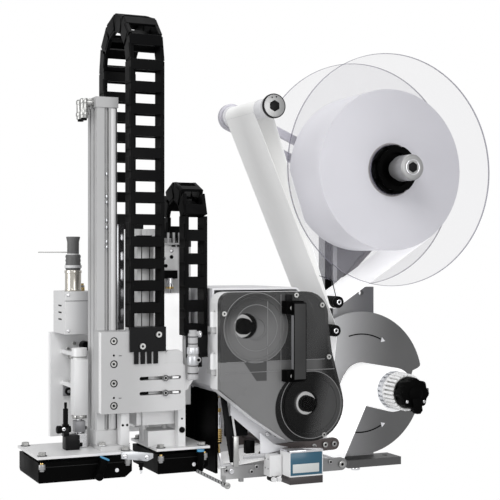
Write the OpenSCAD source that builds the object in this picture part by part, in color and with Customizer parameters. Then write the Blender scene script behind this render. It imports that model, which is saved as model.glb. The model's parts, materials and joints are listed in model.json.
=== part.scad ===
// Label printer applicator: a print unit with supply reel, dancer and rewinder, and a twin tamp unit.
// X runs right, Y back, Z up. The origin is the centre of the four mounting holes, on the rear face.

/* [Back plate] */
// Thickness of the back plate
plate_t = 10; // [8:1:14]
// Right edge of the back plate
plate_right = 104; // [100:1:120]
// Top of the back plate
plate_top = 50; // [50:1:60]
// Bottom of the back plate
plate_bottom = -232; // [-245:1:-230]
// Left edge of the tamp side of the plate
plate_left = -450; // [-465:1:-446]
// Distance between the mounting holes along X
hole_dx = 160; // [156:1:170]
// Distance between the mounting holes along Z
hole_dz = 80; // [60:1:84]
// Radius of the mounting holes
hole_r = 4.5; // [3.5:0.5:5.5]

/* [Label web] */
// Width of the label web
web_w = 104; // [100:1:106]
// Thickness of the label web
web_t = 0.6; // [0.5:0.1:0.8]
// Space between the back plate and the web
web_back = 44; // [44:1:50]

/* [Supply reel] */
// Position of the reel axle along X
reel_x = 51; // [48:1:54]
// Height of the reel axle
reel_z = 235; // [230:1:240]
// Radius of the clear discs
disc_r = 180; // [170:1:185]
// Thickness of a clear disc
disc_t = 3; // [2:0.5:4]
// Radius of the label roll
roll_r = 125; // [110:1:128]
// Outer radius of the core chuck
hub_r = 38; // [36:0.5:40]
// Radius of the reel axle
axle_r = 10; // [8:0.5:12]
// Radius of the silver clamping knob
reel_knob_r = 19.5; // [17:0.5:22]

/* [Dancer and guide rollers] */
// Position of the dancer roller along X
dancer_x = -170; // [-176:1:-164]
// Height of the dancer roller
dancer_z = 318; // [310:1:326]
// Radius of the dancer roller
dancer_r = 14; // [12:0.5:16]
// Position of the dancer pivot along X
pivot_x = 11; // [10:1:12]
// Height of the dancer pivot
pivot_z = 240; // [236:1:244]
// Half width of the dancer arm
arm_r = 21; // [17:1:23]
// Radius of the guide rollers
guide_r = 9; // [8:0.5:10]
// Position of the upper guide roller along X
guide_x = -49; // [-51:1:-47]
// Height of the upper guide roller
guide_z = 32; // [28:1:36]
// Position of the lower guide roller along X
guide2_x = -54; // [-56:1:-53]
// Height of the lower guide roller
guide2_z = -11; // [-14:1:-9]

/* [Rewinder] */
// Position of the rewind shaft along X
rewind_x = 55; // [52:1:58]
// Height of the rewind shaft
rewind_z = -106; // [-110:1:-102]
// Radius of the rewind disc
rewind_disc_r = 115; // [105:1:118]
// Radius of the ribbed rewind mandrel
mandrel_r = 29; // [26:0.5:30]
// Radius of the wound liner
liner_r = 34; // [33:0.5:37]

/* [Print unit] */
// Left side of the housing
unit_left = -253; // [-254:1:-250]
// Top of the housing
unit_top = 55; // [53:1:58]
// Wall of the housing and the cover
wall = 3; // [2:0.5:4]
// Depth of the cover
cover_d = 38; // [30:1:42]
// Largest gap between parts that pass each other
gap = 0.3; // [0.2:0.1:0.5]

/* [Peel unit] */
// Height of the peel beam
beam_h = 19; // [17:1:21]
// Top of the peel beam
beam_top = -203; // [-205:1:-202]
// Left end of the peel beam
beam_left = -238; // [-240:1:-234]
// Thickness of the beam plates
beam_t = 6; // [5:0.5:8]

/* [Tamp unit] */
// Stroke of the tamp carriage
stroke = 80; // [40:1:84]
// Stroke of the second pad
stroke2 = 30; // [10:1:34]
// Width of the round-cornered column
column_w = 30; // [26:1:32]
// Depth of the column
column_d = 44; // [38:1:46]
// Left side of the column
column_x = -414; // [-416:1:-412]
// Height of the top of the column
column_top = 327; // [300:1:340]
// Top of the pad plates
pad_z = -171.5; // [-174:0.5:-168]
// Thickness of a pad plate
pad_plate_t = 3.5; // [3:0.5:5]
// Depth of the pads
pad_d = 116; // [108:1:118]
// Width of the first pad
pad1_w = 137; // [130:1:140]
// Width of the second pad
pad2_w = 81; // [76:1:82]
// Height of the black pad boxes
pad_h = 28; // [24:1:30]
// Gap between a pad plate and its box
float_gap = 4.5; // [4.5:0.5:8]

/* [Energy chains] */
// Pitch of the chain links
pitch = 33.3; // [30:0.1:36]
// Height of the chain links
chain_h = 26; // [24:1:28]
// Width of the tall chain
chain1_w = 50; // [46:1:52]
// Outer radius of the tall loop
loop1_r = 76.5; // [72:0.5:77]
// Height of the centre of the tall loop
loop1_z = 375.5; // [360:0.5:390]
// Width of the short chain
chain2_w = 34; // [30:1:35]
// Outer radius of the short loop
loop2_r = 50; // [46:0.5:51]
// Height of the centre of the short loop
loop2_z = 158; // [156:0.5:162]

/* [Hidden] */

steel = [0.78, 0.79, 0.8];
alu = [0.86, 0.87, 0.88];
black = [0.08, 0.08, 0.09];
white = [0.93, 0.93, 0.93];
paper = [0.86, 0.85, 0.9];

// Y positions, from the back plate to the front
plate_y = -plate_t;
web_y1 = plate_y - web_back;
web_y0 = web_y1 - web_w;
roller_y1 = web_y1 + 6;
roller_y0 = web_y0 - 8;
housing_y0 = web_y0 - 10;
cover_y1 = housing_y0 - 2;
cover_y0 = cover_y1 - cover_d;

// Web radii round the rollers and the roll
web_gap = gap + web_t / 2;
dancer_path = dancer_r + web_gap;
guide_path = guide_r + web_gap;
roll_path = roll_r + web_gap;
liner_path = liner_r + web_gap;
nip_x = -72;
nip_z = -181;
nip_r = 8;
end_x = -43;
end_r = 6;
end_z = beam_top - beam_h / 2;
peel_x = beam_left + 14;
peel_r = 4;
peel_z = beam_top - 7;
nip_path = nip_r + web_gap;
end_path = end_r + web_gap;
peel_path = peel_r + web_gap;

roll_c = [reel_x, reel_z];
guide_c = [guide_x, guide_z];
dancer_c = [dancer_x, dancer_z];
guide2_c = [guide2_x, guide2_z];
nip_c = [nip_x, nip_z];
peel_c = [peel_x, peel_z];
end_c = [end_x, end_z];
rewind_c = [rewind_x, rewind_z];

function unit(v) = v / norm(v);
function arc(c, r, a0, a1, n) =
    [for (i = [0:n]) c + r * [cos(a0 + (a1 - a0) * i / n), sin(a0 + (a1 - a0) * i / n)]];
function inset(p, d) = let (n = len(p)) [for (i = [0:n - 1])
    let (u = unit(p[i] - p[(i + n - 1) % n]), v = unit(p[(i + 1) % n] - p[i]),
        a = [-u.y, u.x], m = unit(a + [-v.y, v.x])) p[i] + m * d / (m * a)];
// Unit normal of the line that touches two circles, each on its left (1) or right (-1) side
function tangent(a, ra, sa, b, rb, sb) = let (d = b - a, l = norm(d), u = d / l, k = (sa * ra - sb * rb) / l)
    u * k + [-u.y, u.x] * sqrt(1 - k * k);
function angle(v) = atan2(v.y, v.x);

module block(x0, x1, y0, y1, z0, z1) {
    translate([x0, y0, z0]) cube([x1 - x0, y1 - y0, z1 - z0]);
}
module rod_y(x, z, r, y0, y1) {
    translate([x, y0, z]) rotate([-90, 0, 0]) cylinder(r = r, h = y1 - y0, $fn = 72);
}
module rod_z(x, y, r, z0, z1) {
    translate([x, y, z0]) cylinder(r = r, h = z1 - z0, $fn = 48);
}
module rod_x(y, z, r, x0, x1) {
    translate([x0, y, z]) rotate([0, 90, 0]) cylinder(r = r, h = x1 - x0, $fn = 48);
}
module tube_y(x, z, r, bore, y0, y1) {
    difference() {
        rod_y(x, z, r, y0, y1);
        rod_y(x, z, bore, y0 - 1, y1 + 1);
    }
}
// A flat outline in X and Z, given its thickness along Y
module slab(y0, y1) {
    translate([0, y1, 0]) rotate([90, 0, 0]) linear_extrude(y1 - y0) children();
}
module bar(a, b, r) {
    translate(a) rotate(angle(b - a)) union() {
        translate([0, -r]) square([norm(b - a), 2 * r]);
        circle(r = r, $fn = 64);
        translate([norm(b - a), 0]) circle(r = r, $fn = 64);
    }
}
module strip(a, ra, sa, b, rb, sb) {
    n = tangent(a, ra, sa, b, rb, sb);
    p = a + sa * ra * n;
    q = b + sb * rb * n;
    h = n * web_t / 2;
    slab(web_y0, web_y1) polygon([p - h, q - h, q + h, p + h]);
}
// The part of the web that lies round a roller, from one angle to another
module wrap(c, r, a0, a1) {
    n = ceil(abs(a1 - a0) / 12);
    slab(web_y0, web_y1) polygon(concat(arc(c, r - web_t / 2, a0, a1, n), arc(c, r + web_t / 2, a1, a0, n)));
}
module socket_screw(x, z, r, y0, y1) {
    difference() {
        rod_y(x, z, r, y0, y1);
        translate([x, y0 - 1, z]) rotate([-90, 0, 0]) cylinder(r = r * 0.45, h = 1 + (y1 - y0) / 2, $fn = 6);
    }
}

// Back plate, foot and reel post
module back_plate() {
    color(alu) difference() {
        slab(plate_y, 0) polygon([[plate_left, -168], [-262, -168], [-262, plate_bottom],
            [plate_right, plate_bottom], [plate_right, plate_top], [-226, plate_top], [-250, -12],
            [plate_left, -12]]);
        for (x = [-1, 1], z = [-1, 1]) rod_y(x * hole_dx / 2, z * hole_dz / 2, hole_r, plate_y - 1, 1);
    }
}
module base_foot() {
    color(alu) difference() {
        union() {
            block(36, 136, -46, 0, plate_bottom - 13, plate_bottom);
            rod_z(58, -30, 6, plate_bottom - 19, plate_bottom - 13);
        }
        rod_z(118, -23, 4.5, plate_bottom - 14, plate_bottom + 1);
    }
}
post_w = 22;
post_d = 24;
post_top = 262;
post_y0 = plate_y - post_d;
module reel_post() {
    color(alu) difference() {
        union() {
            block(0, post_w, post_y0, plate_y, -25, post_top);
            block(post_w - 1, reel_x + 33, post_y0, plate_y, reel_z - 28, post_top);
            rod_y(reel_x, reel_z, axle_r + 7, post_y0 - 6, post_y0 + 1);
            rod_y(pivot_x, pivot_z, 5, arm_y0, post_y0 + 1);
        }
        block(post_w / 2 - 3, post_w / 2 + 3, post_y0 - 1, post_y0 + 5, -26, pivot_z - 14);
        block(post_w / 2 - 3, post_w / 2 + 3, post_y0 - 1, post_y0 + 5, pivot_z + 14, post_top + 1);
        rod_y(reel_x, reel_z, axle_r + 0.05, post_y0 - 8, plate_y + 1);
    }
}

// Supply reel
hub_y0 = web_y0 - 17;
knob_y0 = hub_y0 - 45;
module reel_axle() {
    color(steel) difference() {
        union() {
            rod_y(reel_x, reel_z, axle_r, hub_y0 - 1, plate_y - 4);
            rod_y(reel_x, reel_z, reel_knob_r - 2, knob_y0, knob_y0 + 3);
            rod_y(reel_x, reel_z, reel_knob_r, knob_y0 + 3, hub_y0 - 12);
            rod_y(reel_x, reel_z, reel_knob_r - 4, hub_y0 - 12.5, hub_y0);
        }
        rod_y(reel_x, reel_z, 7, knob_y0 - 1, knob_y0 + 14);
        for (a = [0:60:300]) translate([reel_x, 0, reel_z]) rotate([0, a, 0])
            rod_y(reel_knob_r + 1, 0, 3, knob_y0 - 1, knob_y0 + 16);
    }
}
module reel_hub() {
    color(black) difference() {
        union() {
            rod_y(reel_x, reel_z, hub_r, hub_y0 + 5, web_y1 + disc_t + 2);
            rod_y(reel_x, reel_z, hub_r - 4, hub_y0, hub_y0 + 6);
            rod_y(reel_x, reel_z, hub_r + 7, web_y1 + disc_t + 2 * gap, web_y1 + disc_t + 4);
        }
        rod_y(reel_x, reel_z, axle_r + 0.05, hub_y0 - 1, plate_y);
        rod_y(reel_x, reel_z, hub_r - 12, hub_y0 - 1, hub_y0 + 9);
        for (a = [15:45:345]) translate([reel_x, 0, reel_z]) rotate([0, a, 0])
            block(hub_r - 5, hub_r + 3, hub_y0 - 1, hub_y0 + 10, -4, 4);
    }
}
module label_roll() {
    color(paper) tube_y(reel_x, reel_z, roll_r, hub_r + gap, web_y0, web_y1);
}
module reel_discs() {
    color([0.9, 0.9, 0.95, 0.4]) for (y = [web_y0 - disc_t - gap, web_y1 + gap])
        tube_y(reel_x, reel_z, disc_r, hub_r + gap, y, y + disc_t);
}

// Dancer arm and roller
arm_y1 = post_y0 - 4;
arm_y0 = arm_y1 - 8;
dancer_y1 = arm_y0 - 1;
dancer_y0 = web_y0 - 38;
module dancer_arm() {
    color([0.72, 0.72, 0.78]) difference() {
        union() {
            slab(arm_y0, arm_y1) difference() {
                bar([pivot_x, pivot_z], dancer_c, arm_r);
                bar([pivot_x - 50, pivot_z + 21.5], [pivot_x - 110, pivot_z + 47.4], 8);
            }
            rod_y(dancer_x, dancer_z, 5, dancer_y0 - 4, arm_y1 - 1);
            rod_y(dancer_x, dancer_z, 17.5, dancer_y0 - 5, dancer_y0 - gap);
        }
        rod_y(pivot_x, pivot_z, 5.05, arm_y0 - 1, arm_y1 + 1);
        translate([dancer_x, dancer_y0 - 6, dancer_z]) rotate([-90, 0, 0]) cylinder(r = 7, h = 4, $fn = 6);
    }
}
module dancer_roller() {
    color(white) difference() {
        union() {
            rod_y(dancer_x, dancer_z, dancer_r, dancer_y0, dancer_y1 - 4);
            rod_y(dancer_x, dancer_z, dancer_r + 3, dancer_y1 - 4.5, dancer_y1);
        }
        rod_y(dancer_x, dancer_z, 5.05, dancer_y0 - 1, dancer_y1 + 1);
    }
}

// The web, run by run
n_supply = tangent(roll_c, roll_path, 1, guide_c, guide_path, 1);
n_back = tangent(guide_c, guide_path, 1, dancer_c, dancer_path, -1);
n_front = tangent(dancer_c, dancer_path, -1, guide2_c, guide_path, 1);
n_down = tangent(guide2_c, guide_path, 1, nip_c, nip_path, 1);
n_peel = tangent(nip_c, nip_path, 1, peel_c, peel_path, -1);
n_return = tangent(peel_c, peel_path, -1, end_c, end_path, -1);
n_wind = tangent(end_c, end_path, -1, rewind_c, liner_path, 1);
module dancer_web() {
    a = angle(-n_back);
    b = angle(-n_front);
    color(paper) wrap(dancer_c, dancer_path, a + 1.5, b + (b < a ? 360 : 0) - 1.5);
}
module web_supply_run() {
    a = angle(n_supply);
    b = angle(n_back);
    union() {
        strip(roll_c, roll_path, 1, guide_c, guide_path, 1);
        wrap(guide_c, guide_path, a + (a < b ? 360 : 0), b + 1.5);
    }
}
module web_back_run() {
    color(paper) strip(guide_c, guide_path, 1, dancer_c, dancer_path, -1);
}
module web_front_run() {
    color(paper) strip(dancer_c, dancer_path, -1, guide2_c, guide_path, 1);
}
module web_print_run() {
    peel_a = angle(-n_peel);
    peel_b = angle(-n_return);
    union() {
        wrap(guide2_c, guide_path, angle(n_front) - 1.5, angle(n_down));
        strip(guide2_c, guide_path, 1, nip_c, nip_path, 1);
        wrap(nip_c, nip_path, angle(n_down), angle(n_peel));
        strip(nip_c, nip_path, 1, peel_c, peel_path, -1);
        wrap(peel_c, peel_path, peel_a, peel_b + (peel_b < peel_a ? 360 : 0));
        strip(peel_c, peel_path, -1, end_c, end_path, -1);
        wrap(end_c, end_path, angle(-n_return), angle(-n_wind));
        strip(end_c, end_path, -1, rewind_c, liner_path, 1);
    }
}
module label_web() {
    color(paper) {
        web_supply_run();
        web_print_run();
    }
}
// Pins of the two guide rollers and the bearing of the rewind shaft, all on the back plate
module plate_spindles() {
    color(steel) for (c = [guide_c, guide2_c]) union() {
        rod_y(c.x, c.y, 4, roller_y0 - 4, plate_y);
        rod_y(c.x, c.y, 10, roller_y1 + gap, plate_y);
        rod_y(c.x, c.y, 6.5, roller_y0 - 5, roller_y0 - gap);
    }
    color(steel) tube_y(rewind_x, rewind_z, 24, 10.05, web_y1 + 8, plate_y);
}
module guide_roller(c) {
    color(black) tube_y(c.x, c.y, guide_r, 4.05, roller_y0, roller_y1);
}

// Rewinder
rewind_y0 = web_y0 - 16;
module rewind_disc() {
    color([0.45, 0.45, 0.47]) difference() {
        tube_y(rewind_x, rewind_z, rewind_disc_r, mandrel_r + 0.05, web_y1 + 1, web_y1 + 4);
        rod_y(rewind_x + 129, rewind_z + 52, 38, web_y1, web_y1 + 5);
        for (s = [-1, 1]) slab(web_y1, web_y1 + 5) polygon(concat(
            arc(rewind_c, 78, s * 62, s * 108, 10), arc(rewind_c, 84, s * 108, s * 62, 10)));
    }
}
module rewind_mandrel() {
    color(alu) union() {
        difference() {
            rod_y(rewind_x, rewind_z, mandrel_r, rewind_y0, web_y1 + 6);
            for (a = [0:15:345]) translate([rewind_x, 0, rewind_z]) rotate([0, a, 0])
                block(mandrel_r - 2, mandrel_r + 1, rewind_y0 - 1, web_y0 - 1, -1.6, 1.6);
        }
        rod_y(rewind_x, rewind_z, 10, web_y1 + 5, plate_y - 2);
    }
}
module rewind_liner() {
    color(paper) tube_y(rewind_x, rewind_z, liner_r, mandrel_r + gap, web_y0, web_y1);
}
module rewind_knob() {
    knob_y = rewind_y0 - gap;
    color(black) difference() {
        union() {
            rod_y(rewind_x, rewind_z, 22, knob_y - 22, knob_y);
            rod_y(rewind_x, rewind_z, 16, knob_y - 27, knob_y - 21);
            slab(knob_y - 20, knob_y - 12) bar(rewind_c, rewind_c + [10, -24], 6);
        }
        for (a = [0:60:300]) translate([rewind_x, 0, rewind_z]) rotate([0, a, 0])
            rod_y(25, 0, 6, knob_y - 23, knob_y - 8);
        for (a = [40, 160, 280]) translate([rewind_x, 0, rewind_z]) rotate([0, a, 0])
            rod_y(10, 0, 2.2, knob_y - 28, knob_y - 22);
    }
}

// Print unit
unit_pts = [[unit_left, -86], [-150, -165], [-100, -165], [-72, -152], [-62, -122], [-64, -92], [-80, -40],
    [-86, 14], [-100, 40], [-118, unit_top], [unit_left, unit_top]];
// Height of the slanted underside of the housing at a place along X
function unit_floor(x) = let (p = unit_pts[0], d = unit_pts[1] - p) p.y + (x - p.x) * d.y / d.x;
module printer_housing() {
    color(white) difference() {
        slab(housing_y0, plate_y) polygon(unit_pts);
        slab(housing_y0 - 1, plate_y - wall) polygon(inset(unit_pts, wall));
    }
}
ribbon1_c = [-203, -1];
ribbon2_c = [-114, -115];
module printer_frame() {
    color([0.7, 0.7, 0.71]) difference() {
        union() {
            slab(web_y1 + 6, web_y1 + 10) polygon(inset(unit_pts, wall + gap));
            for (p = [[-235, 30], [-150, 30], [-225, -70], [-130, -50]])
                rod_y(p.x, p.y, 6, web_y1 + 9, plate_y - wall);
            slab(housing_y0, housing_y0 + 4) polygon([[-240, -78], [-162, -138], [-140, -100], [-170, -60]]);
            rod_y(-200, -92, 7, housing_y0 + 3, web_y1 + 7);
        }
        for (c = [ribbon1_c, ribbon2_c]) rod_y(c.x, c.y, 5.05, web_y1, plate_y);
    }
}
module ribbon_spindle(c, r, y0) {
    color(black) union() {
        rod_y(c.x, c.y, 5, web_y1 + 5, web_y1 + 18);
        rod_y(c.x, c.y, 11, web_y1 + 2, web_y1 + 5.5);
        rod_y(c.x, c.y, r, web_y0 + 2, web_y1 + 2.5);
        difference() {
            rod_y(c.x, c.y, 12, y0, web_y0 + 3);
            rod_y(c.x, c.y, 8, y0 - 1, y0 + 6);
            block(c.x - 2, c.x + 2, y0 - 1, y0 + 6, c.y - 13, c.y + 13);
        }
    }
}
cover_pts = concat(
    [[-257, -88], [-200, -133], [-150, -166]],
    arc([-114, -115], 53, -90, 16, 10),
    [[-80, -39], [-86, 4]],
    arc([-122, 14], 36, 0, 90, 6),
    arc([-241, 34], 16, 90, 180, 4));
module printer_cover() {
    color([0.2, 0.2, 0.2, 0.8]) union() {
        difference() {
            slab(cover_y0, cover_y1) polygon(cover_pts);
            slab(cover_y0 + wall, cover_y1 + 1) polygon(inset(cover_pts, wall));
            for (z = hinge_z) block(hinge_x - 1, hinge_x + 5, hinge_y - 4.5, cover_y1 + 1, z - 9, z + 1);
        }
        for (z = hinge_z) difference() {
            union() {
                rod_z(hinge_x - 3.5, hinge_y, 4, z + gap, z + 22);
                block(hinge_x - 3.5, hinge_x + 1, hinge_y - 4, hinge_y, z + gap, z + 22);
            }
            rod_z(hinge_x - 3.5, hinge_y, 2.25, z - 1, z + 23);
        }
        tube_y(-203, -2, 46, 43.5, cover_y0 - 1.2, cover_y0 + 0.5);
        tube_y(-203, -2, 16, 14.5, cover_y0 - 1.2, cover_y0 + 0.5);
        tube_y(-114, -115, 44, 41.5, cover_y0 - 1.2, cover_y0 + 0.5);
    }
}
handle_x = -141;
module cover_handle() {
    color(black) union() {
        for (z = [28, -72]) {
            rod_y(handle_x - 12, z, 9, cover_y0 - 6, cover_y0);
            slab(cover_y0 - 14, cover_y0 - 1) bar([handle_x - 12, z], [handle_x + 4, z > 0 ? 12 : -56], 6);
        }
        slab(cover_y0 - 26, cover_y0 - 13) bar([handle_x + 4, 14], [handle_x + 4, -58], 8);
    }
}
module cover_screws() {
    color(steel) union() {
        for (p = [[-252, 20], [-139, 45], [-97, 30], [-86, -46], [-94, -159.5]])
            socket_screw(p.x, p.y, 3.6, cover_y0 - 2.5, cover_y0);
        for (z = [28, -72]) socket_screw(handle_x - 12, z, 4.4, cover_y0 - 16.5, cover_y0 - 14);
    }
}
hinge_x = -257;
hinge_y = cover_y1 - 18;
hinge_z = [-60, 0];
module cover_hinge() {
    color(steel) for (z = hinge_z) union() {
        rod_z(hinge_x - 3.5, hinge_y, 2.2, z - 8, z + 24);
        block(hinge_x - 5.7, unit_left, hinge_y - 2.2, hinge_y + 2.2, z - 8, z);
        block(unit_left - 3.7, unit_left, hinge_y - 2.2, housing_y0 + 12, z - 8, z);
    }
}

// Peel unit under the print unit
beam_y0 = web_y0 - 10;
beam_rear = web_y1 + 4;
module beam_outline() {
    difference() {
        union() {
            translate([beam_left, beam_top - beam_h]) square([end_x - beam_left, beam_h]);
            translate([end_x, end_z]) circle(r = beam_h / 2, $fn = 64);
        }
        translate([beam_left - 1, beam_top - 3]) square([9, 4]);
    }
}
module peel_beams() {
    color(alu) difference() {
        union() {
            slab(beam_y0, beam_y0 + beam_t) beam_outline();
            slab(beam_rear, beam_rear + beam_t) beam_outline();
            block(-190, -105, beam_y0 + 1, beam_rear + 1, beam_top - 7.5, beam_top - 3);
            for (x = [-200, -90]) rod_y(x, beam_top - beam_h + 5, 4, beam_rear + 1, plate_y);
            block(-210, -204, beam_y0, beam_y0 + beam_t, beam_top - beam_h - 5, beam_top - beam_h + 1);
        }
        rod_y(peel_x, peel_z, 2.05, beam_y0 - 1, beam_rear + beam_t + 1);
        rod_y(end_x, end_z, 3.05, beam_y0 - 1, beam_rear + beam_t + 1);
    }
}
module peel_roller() {
    color(steel) union() {
        rod_y(peel_x, peel_z, peel_r, beam_y0 + beam_t + gap, beam_rear - gap);
        rod_y(peel_x, peel_z, 2, beam_y0 - 3, beam_rear + beam_t + 1);
    }
}
module liner_roller() {
    color(steel) union() {
        rod_y(end_x, end_z, end_r, beam_y0 + beam_t + gap, beam_rear - gap);
        rod_y(end_x, end_z, 3, beam_y0 - 2, beam_rear + beam_t);
    }
}
module nip_arms() {
    color([0.42, 0.38, 0.37]) difference() {
        union() {
            for (y = [beam_y0 - 1, beam_rear]) slab(y, y + beam_t)
                polygon(concat(arc([nip_x + 16, nip_z], 9, -90, 90, 12),
                    [[-150, -176], [-178, -186], [-178, -194]]));
            for (x = [-150, -120]) rod_y(x, -181, 3.5, beam_y0 + 2, plate_y);
        }
        rod_y(nip_x, nip_z, 3.05, beam_y0 - 2, beam_rear + beam_t + 1);
    }
}
module nip_roller() {
    color(black) union() {
        rod_y(nip_x, nip_z, nip_r, beam_y0 - 1 + beam_t + gap, beam_rear - gap);
        rod_y(nip_x, nip_z, 3, beam_y0 - 3, beam_rear + beam_t);
    }
}
badge_y0 = beam_y0 - 46;
module badge_box() {
    color([0.1, 0.33, 0.42]) union() {
        difference() {
            block(-152, -98, badge_y0, beam_y0 - 14, -217, -179.5);
            block(-149, -101, badge_y0 - 1, badge_y0 + 1.2, -214, -182.5);
        }
        block(-151, -98.5, badge_y0, beam_y0 - 16, -228, -217);
        block(-172, -153, beam_y0 - 22, beam_y0 - 1, -219, -188);
        block(-172, -153, beam_y0 - 2, beam_y0, -219, beam_top - 1);
        block(-154, -140, beam_y0 - 15, beam_y0, -216, -200);
        for (x = [-168, -160]) rod_y(x, -222, 3.4, beam_y0 - 30, beam_y0 - 12);
    }
}
module blow_tube() {
    color(steel) translate([-236, beam_y0 - 12, beam_top - beam_h - 6]) union() {
        difference() {
            union() {
                rotate([0, -62, 0]) cylinder(r = 2.4, h = 52, $fn = 32);
                rod_y(0, 0, 4, -3, 12);
                block(-2.5, 2.5, 9, 12, 0, 12);
            }
            for (i = [1:9])
                rotate([0, -62, 0]) translate([0, 0, i * 5]) rotate([0, 90, 0]) cylinder(r = 0.8, h = 5, $fn = 16);
        }
    }
}
module side_guard() {
    x0 = beam_left;
    x1 = beam_left + 3.8;
    color(black) slab(web_y0 + 15, web_y1)
        polygon([[x0, -217], [x1, -217], [x1, unit_floor(x1)], [x0, unit_floor(x0)]]);
}
module tension_spring() {
    color([0.8, 0.66, 0.36]) translate([-230, web_y0 + 22, 0]) union() {
        rod_z(0, 0, 1.6, -188, -104.9);
        rod_z(0, 0, 3.6, -146, -122);
        for (i = [0:6]) rod_z(0, 0, 3.6, -164 + i * 2.6, -162.6 + i * 2.6);
        rod_z(0, 0, 3.4, -174, -166);
        block(-2.5, 2.5, 0, 8, -188, -182);
    }
}

// Fixed side of the tamp unit
post2_x0 = -334;
post2_x1 = unit_left - 3;
post2_y0 = plate_y - 47;
post2_top = 142;
rail_x = -306;
rail_w = 18;
rail_d = 12;
module lift_post() {
    color(alu) difference() {
        union() {
            block(post2_x0, post2_x1, post2_y0, plate_y, -155, post2_top);
            block(rail_x - rail_w / 2, rail_x + rail_w / 2, post2_y0 - rail_d, post2_y0 + 1, -155, post2_top);
        }
        for (x = [post2_x0 + 10, post2_x1 - 10])
            block(x - 2, x + 2, post2_y0 - 1, post2_y0 + 5, -156, post2_top + 1);
    }
}
module valve_box() {
    color([0.6, 0.6, 0.61]) union() {
        block(-445, -400, plate_y - 65, plate_y, -12, 50);
        rod_z(-426, plate_y - 40, 11.5, 50, 80);
        rod_z(-426, plate_y - 40, 12.5, 84, 88);
        rod_z(-426, plate_y - 40, 10, 80, 104);
        rod_z(-426, plate_y - 40, 8.5, 104, 130);
        rod_z(-410, plate_y - 30, 4, 50, 58);
    }
}
cyl_x = column_x - 16;
cyl_y = -97;
cyl_r = 9.5;
cyl_z0 = -131;
cyl_z1 = -30;
module drive_cylinder() {
    color(white) difference() {
        union() {
            rod_z(cyl_x, cyl_y, cyl_r, cyl_z0, cyl_z1);
            rod_z(cyl_x, cyl_y, cyl_r + 1.5, cyl_z1 - 12, cyl_z1);
            for (z = [cyl_z1 - 14, cyl_z0 + 40]) block(cyl_x - 3, cyl_x + 3, cyl_y + 8, plate_y, z, z + 6);
        }
        rod_z(cyl_x, cyl_y, 7.05, cyl_z0 + 6, cyl_z1 - 3);
        rod_z(cyl_x, cyl_y, 3.55, cyl_z0 - 1, cyl_z0 + 7);
    }
}

// The tamp carriage
column_y1 = -86;
column_y0 = column_y1 - column_d;
column_x1 = column_x + column_w;
plate2_y1 = column_y0 - 24;
plate2_y0 = plate2_y1 - 12;
module drive_rod() {
    color(steel) union() {
        rod_z(cyl_x, cyl_y, 3.5, pad_z, cyl_z1 - 5.4);
        rod_z(cyl_x, cyl_y, 7, cyl_z0 + 6.5 + stroke, cyl_z1 - 5);
        block(cyl_x - 9, cyl_x + 9, cyl_y - 12, cyl_y + 12, pad_z, pad_z + 20);
    }
}
module tamp_column() {
    color(alu) union() {
        difference() {
            block(column_x, column_x1, column_y0, column_y1, pad_z + 26, column_top - 15);
            block(column_x + 12, column_x + 17, column_y0 - 1, column_y0 + 3, pad_z + 25, column_top - 14);
            block(column_x1 - 5, column_x1 - 1.5, column_y0 - 1, column_y0 + 3, pad_z + 25, column_top - 14);
            for (y = [column_y0 + 11, column_y1 - 15])
                block(column_x - 1, column_x + 3, y, y + 5, pad_z + 25, column_top - 14);
        }
        block(column_x - 1.5, column_x1 + 1.5, column_y0 - 1.5, column_y1 + 1.5, column_top - 15, column_top);
        block(column_x - 1.5, column_x1 + 1.5, column_y0 - 1.5, column_y1 + 1.5, pad_z + 6, pad_z + 26);
        block(column_x - 0.5, column_x1 + 13, column_y0 - 20, column_y1 + 6, pad_z, pad_z + 6);
        for (y = [column_y0 + 12, column_y0 + 30]) {
            rod_x(y, column_top - 7, 5, column_x - 14, column_x);
            rod_z(column_x - 15, y, 5.5, column_top - 30, column_top - 3);
        }
    }
}
slots_x0 = -360;
slots_x1 = -303;
slots_z = [-71, -92];
module slotted_plate() {
    color(alu) difference() {
        union() {
            slab(plate2_y0, plate2_y1) polygon([[-418, -118], [-298, -118], [-294, -114], [-294, -56],
                [-298, -51], [-324, -51], [-324, -4], [-418, -4]]);
            slab(plate2_y0 + 1, plate2_y1) polygon(concat([[-324, -52]], arc([-318, -38], 5.6, 180, 90, 5),
                arc([-303, -38], 5.6, 90, 0, 5), [[-297.4, -52]]));
            block(-418, column_x1 + 4, plate2_y1, column_y0, -118, -4);
        }
        for (z = slots_z) slab(plate2_y0 - 1, plate2_y1 + 1) bar([slots_x0, z], [slots_x1, z], 2.6);
        for (z = [-17, -49, -76, -107]) {
            rod_y(-400, z, 5.4, plate2_y0 - 1, plate2_y0 + 5);
        }
        for (z = [-37, -96]) rod_y(-400, z, 1.6, plate2_y0 - 1, plate2_y0 + 6);
    }
}
module plate_screws() {
    color(steel) union() {
        for (z = [-17, -49, -76, -107]) socket_screw(-400, z, 4.5, plate2_y0 + 0.6, plate2_y0 + 5);
        for (z = slots_z) {
            socket_screw(-325, z, 4.5, plate2_y0 - 4, plate2_y0);
            rod_y(-325, z, 2.5, plate2_y0 - 0.5, plate2_y1);
        }
        for (p = [[-336, -9], [-360, -25]]) socket_screw(p.x, p.y, 4.2, plate2_y0 - 7.5, plate2_y0 - 4);
        for (x = [column_x + 5, column_x1 + 9])
            translate([x, column_y0 - 11, pad_z + 6]) cylinder(r = 4.5, h = 5, $fn = 6);
    }
}
pad2_cyl_x0 = -358;
pad2_cyl_x1 = -294.5;
pad2_cyl_y0 = -138;
pad2_cyl_y1 = -95;
pad2_cyl_z0 = -141;
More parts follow.
